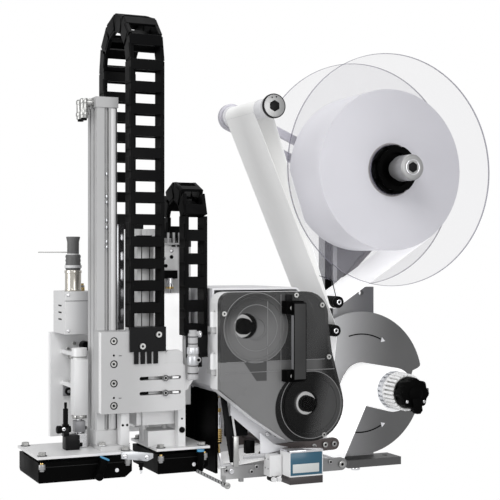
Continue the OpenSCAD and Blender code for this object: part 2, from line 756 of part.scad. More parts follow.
module pad_2_cylinder() {
    color(alu) difference() {
        union() {
            block(pad2_cyl_x0, pad2_cyl_x1, pad2_cyl_y0, pad2_cyl_y1, pad2_cyl_z0, -52);
            block(-346, -304, plate2_y1, pad2_cyl_y0, -104, -60);
        }
        for (x = [-340, -308]) rod_z(x, -117, 4.05, pad2_cyl_z0 - 1, pad2_cyl_z0 + 60);
        block(pad2_cyl_x0 + 5, pad2_cyl_x0 + 9, pad2_cyl_y0 - 1, pad2_cyl_y0 + 4, pad2_cyl_z0 - 1, -51);
    }
}
block_top = 128;
block_x0 = rail_x - 22;
block_x1 = rail_x + 48;
module slide_block() {
    rail_gap = 0.05;
    color(alu) difference() {
        block(block_x0, block_x1, pad2_cyl_y1, post2_y0 - gap, -120, block_top);
        block(rail_x - rail_w / 2 - rail_gap, rail_x + rail_w / 2 + rail_gap, post2_y0 - rail_d - rail_gap,
            post2_y0, -121, block_top + 1);
        for (x = [block_x0 + 8, block_x0 + 36, block_x1 - 15])
            block(x - 1.5, x + 1.5, pad2_cyl_y1 - 1, pad2_cyl_y1 + 4, -51, block_top + 1);
    }
}

// Pads
pad_y0 = plate2_y0;
pad_y1 = pad_y0 + pad_d;
pad1_x0 = -508;
pad2_x1 = unit_left - 3;
pad2_x0 = pad2_x1 - pad2_w;
inset_b = 9;
module pad_holes(x0, w) {
    for (x = [x0 + inset_b, x0 + w - inset_b], y = [pad_y0 + inset_b, pad_y1 - inset_b])
        rod_z(x, y, 2.6, pad_z - 10, pad_z + 1);
}
module pad_plate_1() {
    color(steel) difference() {
        block(pad1_x0, pad1_x0 + pad1_w, pad_y0, pad_y1, pad_z - pad_plate_t, pad_z);
        pad_holes(pad1_x0, pad1_w);
    }
}
module pad_body(x0, w) {
    top = pad_z - pad_plate_t - float_gap;
    slab(pad_y0 + 2, pad_y1 - 2) polygon([[x0 + 3, top - pad_h], [x0 + w - 12, top - pad_h],
        [x0 + w - 2, top - pad_h + 8], [x0 + w - 2, top], [x0 + 2, top], [x0 + 2, top - pad_h + 4]]);
    for (x = [x0 + inset_b, x0 + w - inset_b], y = [pad_y0 + inset_b, pad_y1 - inset_b]) {
        rod_z(x, y, 2.5, top - 1, pad_z + 2);
        translate([x, y, pad_z + 0.2]) cylinder(r = 4.8, h = 4.5, $fn = 6);
    }
}
module pad_box_1() {
    color(black) pad_body(pad1_x0, pad1_w);
}
leg_y1 = pad2_cyl_y0 - 2;
module pad_plate_2() {
    color(steel) union() {
        difference() {
            block(pad2_x0, pad2_x1, pad_y0, pad_y1, pad_z - pad_plate_t, pad_z);
            pad_holes(pad2_x0, pad2_w);
        }
        block(-341, -297, -140, -100, pad_z, pad_z + 22);
        for (x = [-340, -308]) rod_z(x, -117, 4, pad_z + 5, pad2_cyl_z0 + 50);
        block(-300, -284, plate2_y1 + gap, leg_y1, -90, -60);
        block(-300, -289, plate2_y1 + gap, leg_y1, pad_z, -89);
        slab(plate2_y1 - 4, plate2_y1 + 1)
            polygon([[-292, -91], [-289, -91], [-273, -70], [-265, -49], [-262, -20], [-292, -18]]);
    }
}
module pad_box_2() {
    color(black) pad_body(pad2_x0, pad2_w);
}

// One link of an energy chain: two side plates joined by two cross bars, its length along Z
module link(w, h, l) {
    side = 4;
    bar_t = 3.5;
    for (x = [0, w - side]) translate([x, 0, 0]) cube([side, h, l]);
    for (y = [0, h - bar_t]) translate([side / 2, y, 0]) cube([w - side, bar_t, l / 2]);
    for (x = [-0.8, w - 1])
        translate([x, h / 2, l / 4]) rotate([0, 90, 0]) cylinder(r = h * 0.2, h = 1.8, $fn = 24);
}
chain1_x = -376;
chain1_y0 = plate2_y0 - 2;
loop1_y = chain1_y0 + loop1_r;
chain2_x = -291.5;
chain2_y0 = plate2_y0 + 6;
loop2_y = chain2_y0 + loop2_r;
// Half a turn of links about an axis along X
module loop(x, y, z, w, r, n) {
    mid = r - chain_h / 2;
    l = 2 * mid * tan(90 / n);
    translate([x, y, z]) difference() {
        for (i = [0:n - 1])
            rotate([-(i + 0.5) * 180 / n, 0, 0]) translate([0, -r, -l / 2]) link(w, chain_h, l);
        block(-5, w + 5, -r - chain_h, r + chain_h, -chain_h, 0);
    }
}
chain1_z0 = 2;
chain1_end = 165;
chain2_z0 = -12;
chain2_end = 136;
module strand(x, y, w, z0, z1) {
    n = max(1, round((z1 - z0) / pitch));
    l = (z1 - z0) / n;
    for (i = [0:n - 1]) translate([x, y, z0 + i * l]) link(w, chain_h, l);
}
// Plate with a comb of teeth that hold the cables, below or above the end of a chain
module comb(x0, x1, y, z, h) {
    n = 4;
    tooth = (x1 - x0) / (n * 1.4);
    slab(y, y + 3) for (i = [0:n - 1]) translate([x0 + i * (x1 - x0 - tooth) / (n - 1), z - h])
        square([tooth, h + 1]);
}
module tall_chain_loop() {
    color(black) loop(chain1_x, loop1_y, loop1_z, chain1_w, loop1_r, 6);
}
module tall_front_strand() {
    color(black) strand(chain1_x, chain1_y0, chain1_w, chain1_z0, loop1_z - gap);
}
module tall_back_strand() {
    color(black) strand(chain1_x, loop1_y + loop1_r - chain_h, chain1_w, chain1_end, loop1_z - gap);
}
module tall_chain_anchor() {
    y1 = loop1_y + loop1_r;
    color(black) union() {
        block(chain1_x, chain1_x + chain1_w, y1 - chain_h, y1 - chain_h + 5, post2_top + 6, chain1_end - gap);
        block(chain1_x, post2_x0 + 20, y1 - chain_h, y1 - 5, post2_top, post2_top + 7);
    }
}
module chain_clamps() {
    top = chain1_z0 - gap;
    y2 = loop2_y + loop2_r - chain_h;
    color(black) {
        union() {
            block(chain1_x + 1, chain1_x + chain1_w - 1, plate2_y0 - 4, plate2_y0, -33, top);
            block(chain1_x + 4, chain1_x + chain1_w - 4, plate2_y0 - 4, plate2_y0 + 20, -3.5, top);
            for (x = [chain1_x - 1.5, chain1_x + chain1_w - 1.5])
                block(x, x + 3, plate2_y0 - 4, plate2_y0, -33, top);
            comb(chain1_x + 5, chain1_x + chain1_w - 10, plate2_y0 - 3, -33, 17);
        }
        union() {
            block(chain2_x + 2, chain2_x + chain2_w - 2, y2, y2 + 20, block_top, chain2_end - gap);
            block(chain2_x + 2, chain2_x + chain2_w - 2, pad2_cyl_y1 - 5, y2 + 1, block_top + 1, chain2_end - gap);
            comb(chain2_x + 2, chain2_x + chain2_w - 2, pad2_cyl_y1 - 5, block_top + 1, 14);
        }
    }
}
module short_chain_loop() {
    color(black) loop(chain2_x, loop2_y, loop2_z, chain2_w, loop2_r, 4);
}
module short_front_strand() {
    color(black) strand(chain2_x, chain2_y0, chain2_w, chain2_z0, loop2_z - gap);
}
module short_back_strand() {
    color(black) strand(chain2_x, loop2_y + loop2_r - chain_h, chain2_w, chain2_end, loop2_z - gap);
}
module short_chain_clamp() {
    color(black) union() {
        block(chain2_x + 1, chain2_x + chain2_w - 1, plate2_y1 - 10, plate2_y1 - 4, -44, chain2_z0 - gap);
        block(chain2_x + 6, chain2_x + chain2_w - 10, plate2_y1 - 10, plate2_y1 - 4, -58, -43);
    }
}
module regulator() {
    x = -285.5;
    y = plate2_y0 - 8;
    color(steel) union() {
        rod_z(x, y, 7, -28, -9);
        rod_z(x, y, 8.2, -38, -28);
        rod_z(x, y, 7.6, -54, -38);
        rod_z(x, y, 7, -74, -54);
        rod_z(x, y, 5.5, -9, -4);
        rod_x(y, -10, 4.5, x, x + 12);
        rod_y(x + 5, -46, 4, y - 9, y);
        block(x - 2, x + 8, y, plate2_y1 - 10, -44, -34);
    }
}

back_plate();
base_foot();
reel_post();
plate_spindles();
reel_axle();
reel_hub();
label_roll();
reel_discs();
dancer_arm();
dancer_roller();
dancer_web();
label_web();
web_back_run();
web_front_run();
guide_roller(guide_c);  // upper_guide_roller
guide_roller(guide2_c);  // lower_guide_roller
rewind_disc();
rewind_mandrel();
rewind_liner();
rewind_knob();
printer_housing();
printer_frame();
ribbon_spindle(ribbon1_c, 26, web_y0 - 6);  // ribbon_supply
ribbon_spindle(ribbon2_c, 34, web_y0 - 14);  // ribbon_rewind
printer_cover();
cover_handle();
cover_screws();
cover_hinge();
peel_beams();
peel_roller();
liner_roller();
nip_arms();
nip_roller();
badge_box();
blow_tube();
side_guard();
tension_spring();
lift_post();
valve_box();
drive_cylinder();
drive_rod();
tamp_column();
slotted_plate();
slide_block();
plate_screws();
pad_2_cylinder();
pad_plate_1();
pad_box_1();
pad_plate_2();
pad_box_2();
tall_chain_loop();
tall_front_strand();
tall_back_strand();
tall_chain_anchor();
chain_clamps();
short_chain_loop();
short_front_strand();
short_back_strand();
short_chain_clamp();
regulator();
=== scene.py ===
import json
import math

import bmesh
import bpy
from mathutils import Matrix, Vector


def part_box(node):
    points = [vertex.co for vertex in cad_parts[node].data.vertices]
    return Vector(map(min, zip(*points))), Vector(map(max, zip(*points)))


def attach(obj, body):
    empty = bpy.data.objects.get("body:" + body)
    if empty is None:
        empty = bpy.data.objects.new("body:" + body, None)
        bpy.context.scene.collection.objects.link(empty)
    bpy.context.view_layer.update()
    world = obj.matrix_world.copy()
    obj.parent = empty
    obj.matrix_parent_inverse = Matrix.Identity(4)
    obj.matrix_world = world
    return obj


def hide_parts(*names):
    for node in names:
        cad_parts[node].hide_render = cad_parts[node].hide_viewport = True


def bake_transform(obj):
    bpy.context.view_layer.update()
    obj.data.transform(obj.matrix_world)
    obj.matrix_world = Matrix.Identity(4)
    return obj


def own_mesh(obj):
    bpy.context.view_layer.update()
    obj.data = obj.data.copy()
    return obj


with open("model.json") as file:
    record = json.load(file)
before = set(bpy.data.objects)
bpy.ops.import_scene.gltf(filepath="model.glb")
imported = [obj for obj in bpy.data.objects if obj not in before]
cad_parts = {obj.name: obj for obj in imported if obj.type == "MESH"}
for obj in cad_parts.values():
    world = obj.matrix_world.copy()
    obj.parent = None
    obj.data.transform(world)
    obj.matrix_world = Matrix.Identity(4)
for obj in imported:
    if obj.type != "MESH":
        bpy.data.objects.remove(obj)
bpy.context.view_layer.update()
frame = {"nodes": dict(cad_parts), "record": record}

MM = 0.001


# Camera, lights and surroundings

PHOTO_SIDE = 500
FOCAL_PIXELS = 1190
SHIFT_PIXELS = 7
SENSOR = 36

camera = bpy.data.objects.new("camera", bpy.data.cameras.new("camera"))
bpy.context.scene.collection.objects.link(camera)
camera.location = (-0.900, -1.754, 0.100)
camera.rotation_euler = (math.radians(90), 0, math.radians(-24))
camera.data.sensor_width = SENSOR
camera.data.lens = FOCAL_PIXELS / PHOTO_SIDE * SENSOR
camera.data.shift_y = SHIFT_PIXELS / PHOTO_SIDE
bpy.context.scene.camera = camera
bpy.context.scene.view_settings.view_transform = "Standard"


def area_light(name, place, target, size, power):
    lamp = bpy.data.lights.new(name, "AREA")
    lamp.shape = "RECTANGLE"
    lamp.size, lamp.size_y = size
    lamp.energy = power
    obj = bpy.data.objects.new(name, lamp)
    bpy.context.scene.collection.objects.link(obj)
    obj.location = place
    obj.rotation_euler = (Vector(target) - obj.location).to_track_quat("-Z", "Y").to_euler()


area_light("key_light", (-1.5, -1.7, 1.7), (-0.1, -0.1, 0.05), (1.2, 1.2), 24)
area_light("front_light", (0.2, -2.6, 0.5), (-0.1, -0.1, 0.0), (1.6, 1.2), 17)
area_light("top_light", (0.0, 0.2, 2.0), (-0.1, -0.1, 0.0), (1.4, 1.4), 12)
area_light("left_light", (-2.3, -0.4, 0.3), (-0.2, -0.1, 0.0), (1.0, 1.6), 16)


def add_node(tree, kind, inputs=None, **settings):
    """A node with its settings. Each input, by name or number, gets a value or another node's output."""
    node = tree.nodes.new(kind if kind.startswith("NodeGroup") else "ShaderNode" + kind)
    for key, value in settings.items():
        setattr(node, key, value)
    for key, value in (inputs or {}).items():
        if isinstance(value, bpy.types.NodeSocket):
            tree.links.new(value, node.inputs[key])
        else:
            node.inputs[key].default_value = value
    return node


def compute(tree, operation, *values, **settings):
    """The result of a math node."""
    return add_node(tree, "Math", dict(enumerate(values)), operation=operation, **settings).outputs[0]


def fresh_tree(owner):
    owner.use_nodes = True
    owner.node_tree.nodes.clear()
    return owner.node_tree


# The world lights softly and shows white to the camera, and a part of that white in reflections
world = bpy.data.worlds.new("studio")
bpy.context.scene.world = world
tree = fresh_tree(world)
path = add_node(tree, "LightPath").outputs
seen = compute(tree, "MAXIMUM", path["Is Camera Ray"], path["Is Transmission Ray"])
part = compute(tree, "MULTIPLY", path["Is Glossy Ray"], 0.45)
shown = compute(tree, "MAXIMUM", seen, part)
soft = add_node(tree, "Background", {"Color": (0.975, 0.98, 1.0, 1), "Strength": 0.42})
plain = add_node(tree, "Background", {"Color": (1, 1, 1, 1), "Strength": 1.0})
mix = add_node(tree, "MixShader", {"Fac": shown, 1: soft.outputs[0], 2: plain.outputs[0]})
add_node(tree, "OutputWorld", {"Surface": mix.outputs[0]})


# Materials

def socket(group, name, kind, way="INPUT", value=None, limits=None):
    made = group.interface.new_socket(name=name, in_out=way, socket_type="NodeSocket" + kind)
    if value is not None:
        made.default_value = value
    if limits:
        made.min_value, made.max_value = limits


def finish_group():
    """Colour, roughness and height of a worn, slightly uneven surface."""
    g = bpy.data.node_groups.new("surface_finish", "ShaderNodeTree")
    socket(g, "Color", "Color", value=(0.5, 0.5, 0.5, 1))
    socket(g, "Roughness", "Float", value=0.5, limits=(0, 1))
    socket(g, "Vary", "Float", value=0.06, limits=(0, 1))
    socket(g, "Grain", "Vector", value=(900, 900, 900))
    socket(g, "Color", "Color", "OUTPUT")
    socket(g, "Roughness", "Float", "OUTPUT")
    socket(g, "Height", "Float", "OUTPUT")
    start = add_node(g, "NodeGroupInput").outputs
    place = add_node(g, "TexCoord").outputs["Object"]
    stretched = add_node(g, "VectorMath", {0: place, 1: start["Grain"]}, operation="MULTIPLY")
    fine = add_node(g, "TexNoise", {"Vector": stretched.outputs[0], "Scale": 1.0, "Detail": 3.0})
    broad = add_node(g, "TexNoise", {"Vector": place, "Scale": 14.0, "Detail": 4.0})
    shade = add_node(g, "MapRange", {"Value": broad.outputs["Fac"], "From Min": 0.3, "From Max": 0.7,
                                     "To Min": -1.0, "To Max": 1.0})
    amount = compute(g, "MULTIPLY", shade.outputs[0], start["Vary"])
    factor = compute(g, "ADD", amount, 1.0)
    tint = add_node(g, "VectorMath", {0: start["Color"], "Scale": factor}, operation="SCALE")
    rough = compute(g, "MULTIPLY_ADD", amount, 0.8, start["Roughness"], use_clamp=True)
    add_node(g, "NodeGroupOutput", {"Color": tint.outputs[0], "Roughness": rough,
                                    "Height": fine.outputs["Fac"]})
    return g


def sweep_group():
    """A colour that runs from one tone to another along a direction in the object's own coordinates; it
    paints light and shade onto a surface.
    """
    g = bpy.data.node_groups.new("tone_sweep", "ShaderNodeTree")
    socket(g, "From", "Color", value=(0.2, 0.2, 0.2, 1))
    socket(g, "To", "Color", value=(0.6, 0.6, 0.6, 1))
    socket(g, "Direction", "Vector", value=(1, 0, 0))
    socket(g, "Start", "Float", value=0.0, limits=(-5, 5))
    socket(g, "End", "Float", value=0.1, limits=(-5, 5))
    socket(g, "Color", "Color", "OUTPUT")
    start = add_node(g, "NodeGroupInput").outputs
    place = add_node(g, "TexCoord").outputs["Object"]
    along = add_node(g, "VectorMath", {0: place, 1: start["Direction"]}, operation="DOT_PRODUCT")
    ramp = add_node(g, "MapRange", {"Value": along.outputs["Value"], "From Min": start["Start"],
                                    "From Max": start["End"]}, interpolation_type="SMOOTHSTEP")
    mix = add_node(g, "Mix", {"Factor": ramp.outputs[0], "A": start["From"], "B": start["To"]},
                   data_type="RGBA")
    add_node(g, "NodeGroupOutput", {"Color": mix.outputs["Result"]})
    return g


FINISH = finish_group()
SWEEP = sweep_group()
BUMP_DEPTH = 0.0004
COAT_ROUGHNESS = 0.12


def triple(value):
    """A single number stands for three equal ones."""
    return (value,) * 3 if isinstance(value, (int, float)) else value


def material(name, color, rough, vary, grain, bump, metallic=0.0, coat=0.0, alpha=1.0, spec=0.5,
             sweep=None, glow=0.0):
    """A finish; a sweep is (second colour, direction, start, end), with the places in metres, and paints a
    gradient of light or shade. A glow makes the surface give off its own colour as painted light.
    """
    m = bpy.data.materials.new(name)
    tree = fresh_tree(m)
    shade = (*triple(color), 1)
    if sweep:
        second, direction, start, end = sweep
        shade = add_node(tree, "Group", {"From": shade, "To": (*triple(second), 1), "Direction": direction,
                                         "Start": start, "End": end}, node_tree=SWEEP).outputs["Color"]
    finish = add_node(tree, "Group", {"Color": shade, "Roughness": rough, "Vary": vary,
                                      "Grain": triple(grain)}, node_tree=FINISH).outputs
    relief = add_node(tree, "Bump", {"Strength": bump, "Distance": BUMP_DEPTH, "Height": finish["Height"]})
    shader = add_node(tree, "BsdfPrincipled", {
        "Base Color": finish["Color"], "Roughness": finish["Roughness"], "Normal": relief.outputs["Normal"],
        "Metallic": metallic, "Coat Weight": coat, "Coat Roughness": COAT_ROUGHNESS, "Alpha": alpha,
        "Specular IOR Level": spec, "Emission Color": finish["Color"], "Emission Strength": glow})
    add_node(tree, "OutputMaterial", {"Surface": shader.outputs[0]})
    return m


# Numbers: colour, roughness, variation, grain, bump, metallic
LONG_GRAIN = (300, 300, 2400)
PAPER_GRAIN = (700, 60, 700)
BEAM_GRAIN = (2400, 300, 900)
M = {
    "aluminium": material("satin_aluminium", (0.58, 0.59, 0.61), 0.40, 0.04, LONG_GRAIN, 0.05, 0.85),
    "white_metal": material("white_anodised", 0.74, 0.46, 0.03, 1200, 0.04, 0.2),
    # Slotted plate: darker at its left and lighter to the right, as painted shade
    "plate_white": material("slotted_plate_painted_shade", 0.46, 0.46, 0.03, 1200, 0.04, 0.2,
                            sweep=(0.60, (1, 0, 0), -0.38, -0.31)),
    # Tamp column: darker towards the top and lighter lower down, as painted shade
    "column_white": material("column_painted_shade", 0.42, 0.46, 0.03, LONG_GRAIN, 0.04, 0.2,
                             sweep=(0.58, (0.4, 0, -1), -0.42, 0.0)),
    "deep_black": material("deep_black_plastic", 0.0008, 0.5, 0.18, 1600, 0.08, spec=0.03),
    "handle_face": material("handle_face_plastic", 0.045, 0.5, 0.12, 1600, 0.08, spec=0.1),
    # Surfaces that glow a little, as painted light
    "glow_soft": material("soft_painted_light", 0.86, 0.4, 0.03, 900, 0.03, 0.1, glow=0.12),
    # White that glows strongly, as painted light: the ribbon cores and the block's front sheet
    "glow_white": material("white_painted_light", 0.90, 0.5, 0.02, 700, 0.04, glow=0.75),
    "grey_metal": material("grey_satin_plate", (0.24, 0.24, 0.25), 0.42, 0.05, 1200, 0.05, 0.4),
    "lilac_metal": material("lilac_grey_metal", (0.56, 0.55, 0.60), 0.42, 0.04, 1200, 0.05, 0.5),
    # Back plate: light at its left and darker towards the right and up, as painted light and shade
    "plate_metal": material("back_plate_painted_shade", 0.88, 0.45, 0.04, 1200, 0.05, 0.2,
                            sweep=((0.13, 0.13, 0.14), (1, 0, 0.25), -0.06, 0.11)),
    # Rewind disc: darker towards the right, as painted shade
    "disc_metal": material("rewind_disc_painted_shade", (0.46, 0.46, 0.47), 0.40, 0.04, 1200, 0.04, 0.35,
                           sweep=(0.12, (0.9, 0, -0.12), -0.05, 0.12)),
    "steel": material("ground_steel", (0.58, 0.58, 0.59), 0.28, 0.05, (300, 300, 3000), 0.05, 1.0),
    "nickel": material("nickel", (0.42, 0.42, 0.41), 0.30, 0.05, 600, 0.04, 0.9),
    "chrome": material("chrome", (0.76, 0.76, 0.78), 0.10, 0.03, 600, 0.01, 1.0),
    "mirror": material("mirror_strip", (0.30, 0.30, 0.31), 0.16, 0.10, (300, 300, 40), 0.02, 0.9),
    "black_plastic": material("black_plastic", (0.0028, 0.0028, 0.003), 0.46, 0.18, 1600, 0.10, spec=0.05),
    "black_metal": material("black_anodised", (0.006, 0.006, 0.0065), 0.42, 0.15, (900, 900, 2400), 0.06,
                            0.1, spec=0.12),
    "grey_plastic": material("grey_plastic", 0.10, 0.5, 0.05, 1400, 0.06),
    # Label roll: darker towards the right and the top, as painted shade
    "paper": material("label_paper", (0.90, 0.895, 0.93), 0.62, 0.02, PAPER_GRAIN, 0.06,
                      sweep=((0.70, 0.695, 0.73), (1, 0, 0.3), 0.03, 0.26)),
    # Front web run glows a little, as painted light
    "web_front": material("web_front_paper", (0.86, 0.86, 0.85), 0.6, 0.02, PAPER_GRAIN, 0.05, glow=0.12),
    # Back web run glows and is darker towards the top, as painted light and shade
    "web_back": material("web_back_paper", 0.92, 0.6, 0.02, PAPER_GRAIN, 0.05, glow=0.22,
                         sweep=((0.72, 0.72, 0.715), (0, 0, 1), 0.12, 0.34)),
    # Liner glows, as painted light
    "liner": material("liner_paper", 0.92, 0.55, 0.02, PAPER_GRAIN, 0.04, glow=0.42),
    "card": material("roll_core_card", (0.30, 0.28, 0.27), 0.7, 0.06, 900, 0.1),
    "white_paint": material("white_paint", (0.78, 0.78, 0.80), 0.40, 0.02, 1400, 0.05, coat=0.2),
    # Grey paint, darker towards the right of the valve box, as painted shade
    "grey_paint": material("grey_paint", 0.66, 0.42, 0.04, 1400, 0.05, coat=0.1,
                           sweep=((0.44, 0.44, 0.445), (1, 0, 0), -0.445, -0.415)),
    "post_metal": material("post_finish", (0.42, 0.42, 0.43), 0.42, 0.05, 1200, 0.05, 0.4),
    "dark_grey": material("dark_grey_plate", (0.10, 0.10, 0.105), 0.42, 0.05, 1200, 0.05, 0.4),
    "base_brown": material("badge_base_finish", (0.042, 0.036, 0.036), 0.45, 0.06, 1200, 0.05, 0.2),
    "warm_nickel": material("warm_nickel", (0.62, 0.59, 0.53), 0.20, 0.05, 600, 0.03, 1.0),
    # Lighter grey on the cover's moulded lines, as painted highlight
    "cover_edge": material("cover_line_highlight", 0.20, 0.3, 0.05, 900, 0.02),
    "acrylic": material("clear_acrylic", (0.48, 0.47, 0.52), 0.06, 0.01, 300, 0.0, alpha=0.10, spec=0.2),
    "disc_edge": material("acrylic_edge", (0.24, 0.23, 0.30), 0.2, 0.05, 300, 0.0, alpha=0.5),
    "bronze": material("brown_grey_metal", (0.085, 0.070, 0.068), 0.42, 0.06, 900, 0.05, 0.4),
    "brass": material("brass", (0.72, 0.52, 0.22), 0.22, 0.06, (600, 600, 2000), 0.04, 1.0),
    # Peel beams: lighter at the left end, as painted highlight
    "beam_metal": material("beam_painted_highlight", 0.46, 0.42, 0.04, BEAM_GRAIN, 0.05, 0.4,
                           sweep=(0.23, (1, 0, 0), -0.235, -0.20)),
    "foot_metal": material("foot_finish", 0.085, 0.42, 0.04, BEAM_GRAIN, 0.05, 0.4),
    "pale_strip": material("pale_panel_strip", (0.58, 0.60, 0.59), 0.4, 0.04, 900, 0.03),
    "knob_metal": material("reel_knob_finish", 0.33, 0.34, 0.05, (900, 300, 900), 0.04, 0.7),
    "blue": material("blue_ring", (0.06, 0.26, 0.45), 0.35, 0.06, 900, 0.03),
    "rubber": material("black_rubber", 0.008, 0.62, 0.15, 1200, 0.12, spec=0.3),
    "teal": material("teal_panel", (0.009, 0.080, 0.135), 0.34, 0.05, 900, 0.03, coat=0.3),
    "floor": material("pale_floor", (0.85, 0.85, 0.86), 0.9, 0.01, 60, 0.01),
}


def cover_group():
    """Tone and opacity of the smoky cover: pale rim, and painted light and shade of what lies behind it:
    dark round fields with painted hub shadows, lighter towards the lower edge.
    """
    g = bpy.data.node_groups.new("cover_painted_shading", "ShaderNodeTree")
    socket(g, "Color", "Color", "OUTPUT")
    socket(g, "Alpha", "Float", "OUTPUT")
    place = add_node(g, "TexCoord").outputs["Object"]
    edge = 0.0006
    narrow = 0.0004

    def along(direction, offset=0.0):
        dot = add_node(g, "VectorMath", {0: place, 1: direction}, operation="DOT_PRODUCT")
        return compute(g, "SUBTRACT", dot.outputs["Value"], offset)

    def ramp(value, low, high, start, stop):
        limits = {"Value": value, "From Min": low, "From Max": high, "To Min": start, "To Max": stop}
        return add_node(g, "MapRange", limits, interpolation_type="SMOOTHSTEP").outputs[0]

    def choose(mask, a, b):
        return add_node(g, "Mix", {"Factor": mask, "A": a, "B": b}).outputs["Result"]

    def disc(x, z, r):
        flat = add_node(g, "VectorMath", {0: place, 1: (1, 0, 1)}, operation="MULTIPLY").outputs[0]
        away = add_node(g, "VectorMath", {0: flat, 1: (x, 0, z)}, operation="DISTANCE").outputs["Value"]
        return ramp(away, r - edge, r + edge, 1, 0)

    # Painted light and shade: the upper field, then the lower field with its wedge and its dark right end
    tone = ramp(along((1, 0, -0.6)), -0.10, -0.045, 0.06, 0.012)
    below = ramp(along((0, 0, 1), -0.049), -edge, edge, 1, 0)
    lower = ramp(along((1, 0, 0)), -0.19, -0.11, 0.24, 0.12)
    lower = choose(ramp(along((1, 0, 0)), -0.108, -0.086, 0, 1), lower, 0.012)
    wedge = compute(g, "MULTIPLY", ramp(along((0, 0, 1)), -0.0775, -0.0765, 0, 1),
                    ramp(along((0.813, 0, 0.581)), -0.2092, -0.2078, 0, 1))
    wedge = compute(g, "MULTIPLY", wedge, ramp(along((1, 0, 0)), -0.186, -0.185, 1, 0))
    lower = choose(wedge, lower, 0.085)
    tone = choose(below, tone, lower)
    # Round fields over the two ribbon spools, painted dark and lit by painted ramps, and painted shadows as
    # the dark spots of their hubs
    tone = choose(disc(-0.202, -0.001, 0.050), tone, ramp(along((0.3, 0, -1)), -0.106, -0.046, 0.05, 0.19))
    tone = choose(disc(-0.119, -0.119, 0.053), tone, 0.006)
    lit = ramp(along((1, 0, -0.25)), -0.092, -0.055, 0.001, 0.07)
    tone = choose(disc(-0.114, -0.115, 0.049), tone, lit)
    spots = compute(g, "MAXIMUM", disc(-0.218, 0.002, 0.0178), disc(-0.121, -0.112, 0.0172))
    tone = choose(spots, tone, 0.002)
    # Pale rim behind the front face
    rim = ramp(along((0, 1, 0), -0.197), -narrow, narrow, 0, 1)
    shade = choose(rim, tone, 0.80)
    color = add_node(g, "CombineColor", {0: shade, 1: shade, 2: shade}).outputs[0]
    opacity = compute(g, "MAXIMUM", rim, choose(spots, 0.82, 0.28))
    add_node(g, "NodeGroupOutput", {"Color": color, "Alpha": opacity})
    return g


def smoky_material():
    m = bpy.data.materials.new("smoky_cover")
    tree = fresh_tree(m)
    tone = add_node(tree, "Group", node_tree=cover_group()).outputs
    finish = add_node(tree, "Group", {"Color": tone["Color"], "Roughness": 0.3, "Vary": 0.04},
                      node_tree=FINISH).outputs
    shader = add_node(tree, "BsdfPrincipled", {
        "Base Color": finish["Color"], "Roughness": finish["Roughness"], "Alpha": tone["Alpha"],
        "Specular IOR Level": 0.16, "Coat Weight": 0.05})
    add_node(tree, "OutputMaterial", {"Surface": shader.outputs[0]})
    return m


M["smoky"] = smoky_material()

NODES_OF = {
    "plate_metal": "back_plate", "foot_metal": "base_foot", "post_metal": "reel_post",
    "smoky": "printer_cover", "lilac_metal": "dancer_arm", "disc_metal": "rewind_disc",
    "nickel": "plate_spindles cover_screws plate_screws", "knob_metal": "reel_axle blow_tube",
    "deep_black": "reel_hub upper_guide_roller lower_guide_roller rewind_knob cover_handle side_guard "
                  "pad_box_1 pad_box_2",
    "paper": "label_roll", "acrylic": "reel_discs",
    "white_paint": "dancer_roller printer_housing", "web_front": "dancer_web web_front_run",
    "web_back": "web_back_run", "liner": "label_web rewind_liner", "aluminium": "rewind_mandrel",
    "grey_paint": "printer_frame valve_box regulator", "plate_white": "cover_hinge slotted_plate",
    "beam_metal": "peel_beams", "chrome": "peel_roller", "steel": "liner_roller drive_rod",
    "bronze": "nip_arms", "rubber": "nip_roller", "brass": "tension_spring", "column_white": "tamp_column",
    "white_metal": "badge_box lift_post drive_cylinder slide_block pad_2_cylinder pad_plate_1 pad_plate_2",
    "black_plastic": "ribbon_supply ribbon_rewind tall_chain_loop tall_front_strand tall_back_strand "
                     "short_chain_loop short_front_strand short_back_strand",
    "black_metal": "tall_chain_anchor chain_clamps short_chain_clamp",
}
NODE_MATERIAL = {node: mat for mat, nodes_of in NODES_OF.items() for node in nodes_of.split()}
for name, obj in frame["nodes"].items():
    obj.data.materials.clear()
    obj.data.materials.append(M[NODE_MATERIAL[name]])


# Floor, and how a mesh becomes an object

SMOOTH_TO = math.radians(35)


def mesh_object(name, bm, mat, smooth=True):
    bmesh.ops.recalc_face_normals(bm, faces=bm.faces)
    data = bpy.data.meshes.new(name)
    bm.to_mesh(data)
    bm.free()
    obj = bpy.data.objects.new(name, data)
    bpy.context.scene.collection.objects.link(obj)
    data.materials.append(M[mat])
    if smooth:
        data.polygons.foreach_set("use_smooth", [True] * len(data.polygons))
        data.set_sharp_from_angle(angle=SMOOTH_TO)
    return obj


bm = bmesh.new()
bmesh.ops.create_circle(bm, cap_ends=True, cap_tris=False, segments=96, radius=0.95)
bmesh.ops.translate(bm, verts=bm.verts, vec=(-0.1, -0.1, -0.5))
floor = mesh_object("floor", bm, "floor", smooth=False)


# Shapes, all in millimetres

AXES = {"X": Vector((1, 0, 0)), "Y": Vector((0, 1, 0)), "Z": Vector((0, 0, 1)), "-Y": Vector((0, -1, 0))}
SHARP = math.radians(32)
WELD = 1e-6


def soften(bm, width, segments=2):
    """Rounds the edges that are sharper than SHARP."""
    if width <= 0:
        return
    edges = [e for e in bm.edges if len(e.link_faces) == 2 and e.calc_face_angle(0) > SHARP]
    if edges:
        bmesh.ops.bevel(bm, geom=edges, offset=width * MM, offset_type="OFFSET", affect="EDGES",
                        segments=segments, profile=0.5, material=-1, clamp_overlap=True)


def piece(name, bm, mat, body, width=0.4, segments=2):
    bmesh.ops.remove_doubles(bm, verts=bm.verts, dist=WELD)
    bmesh.ops.recalc_face_normals(bm, faces=bm.faces)
    soften(bm, width, segments)
    obj = mesh_object(name, bm, mat)
    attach(obj, body)
    return obj


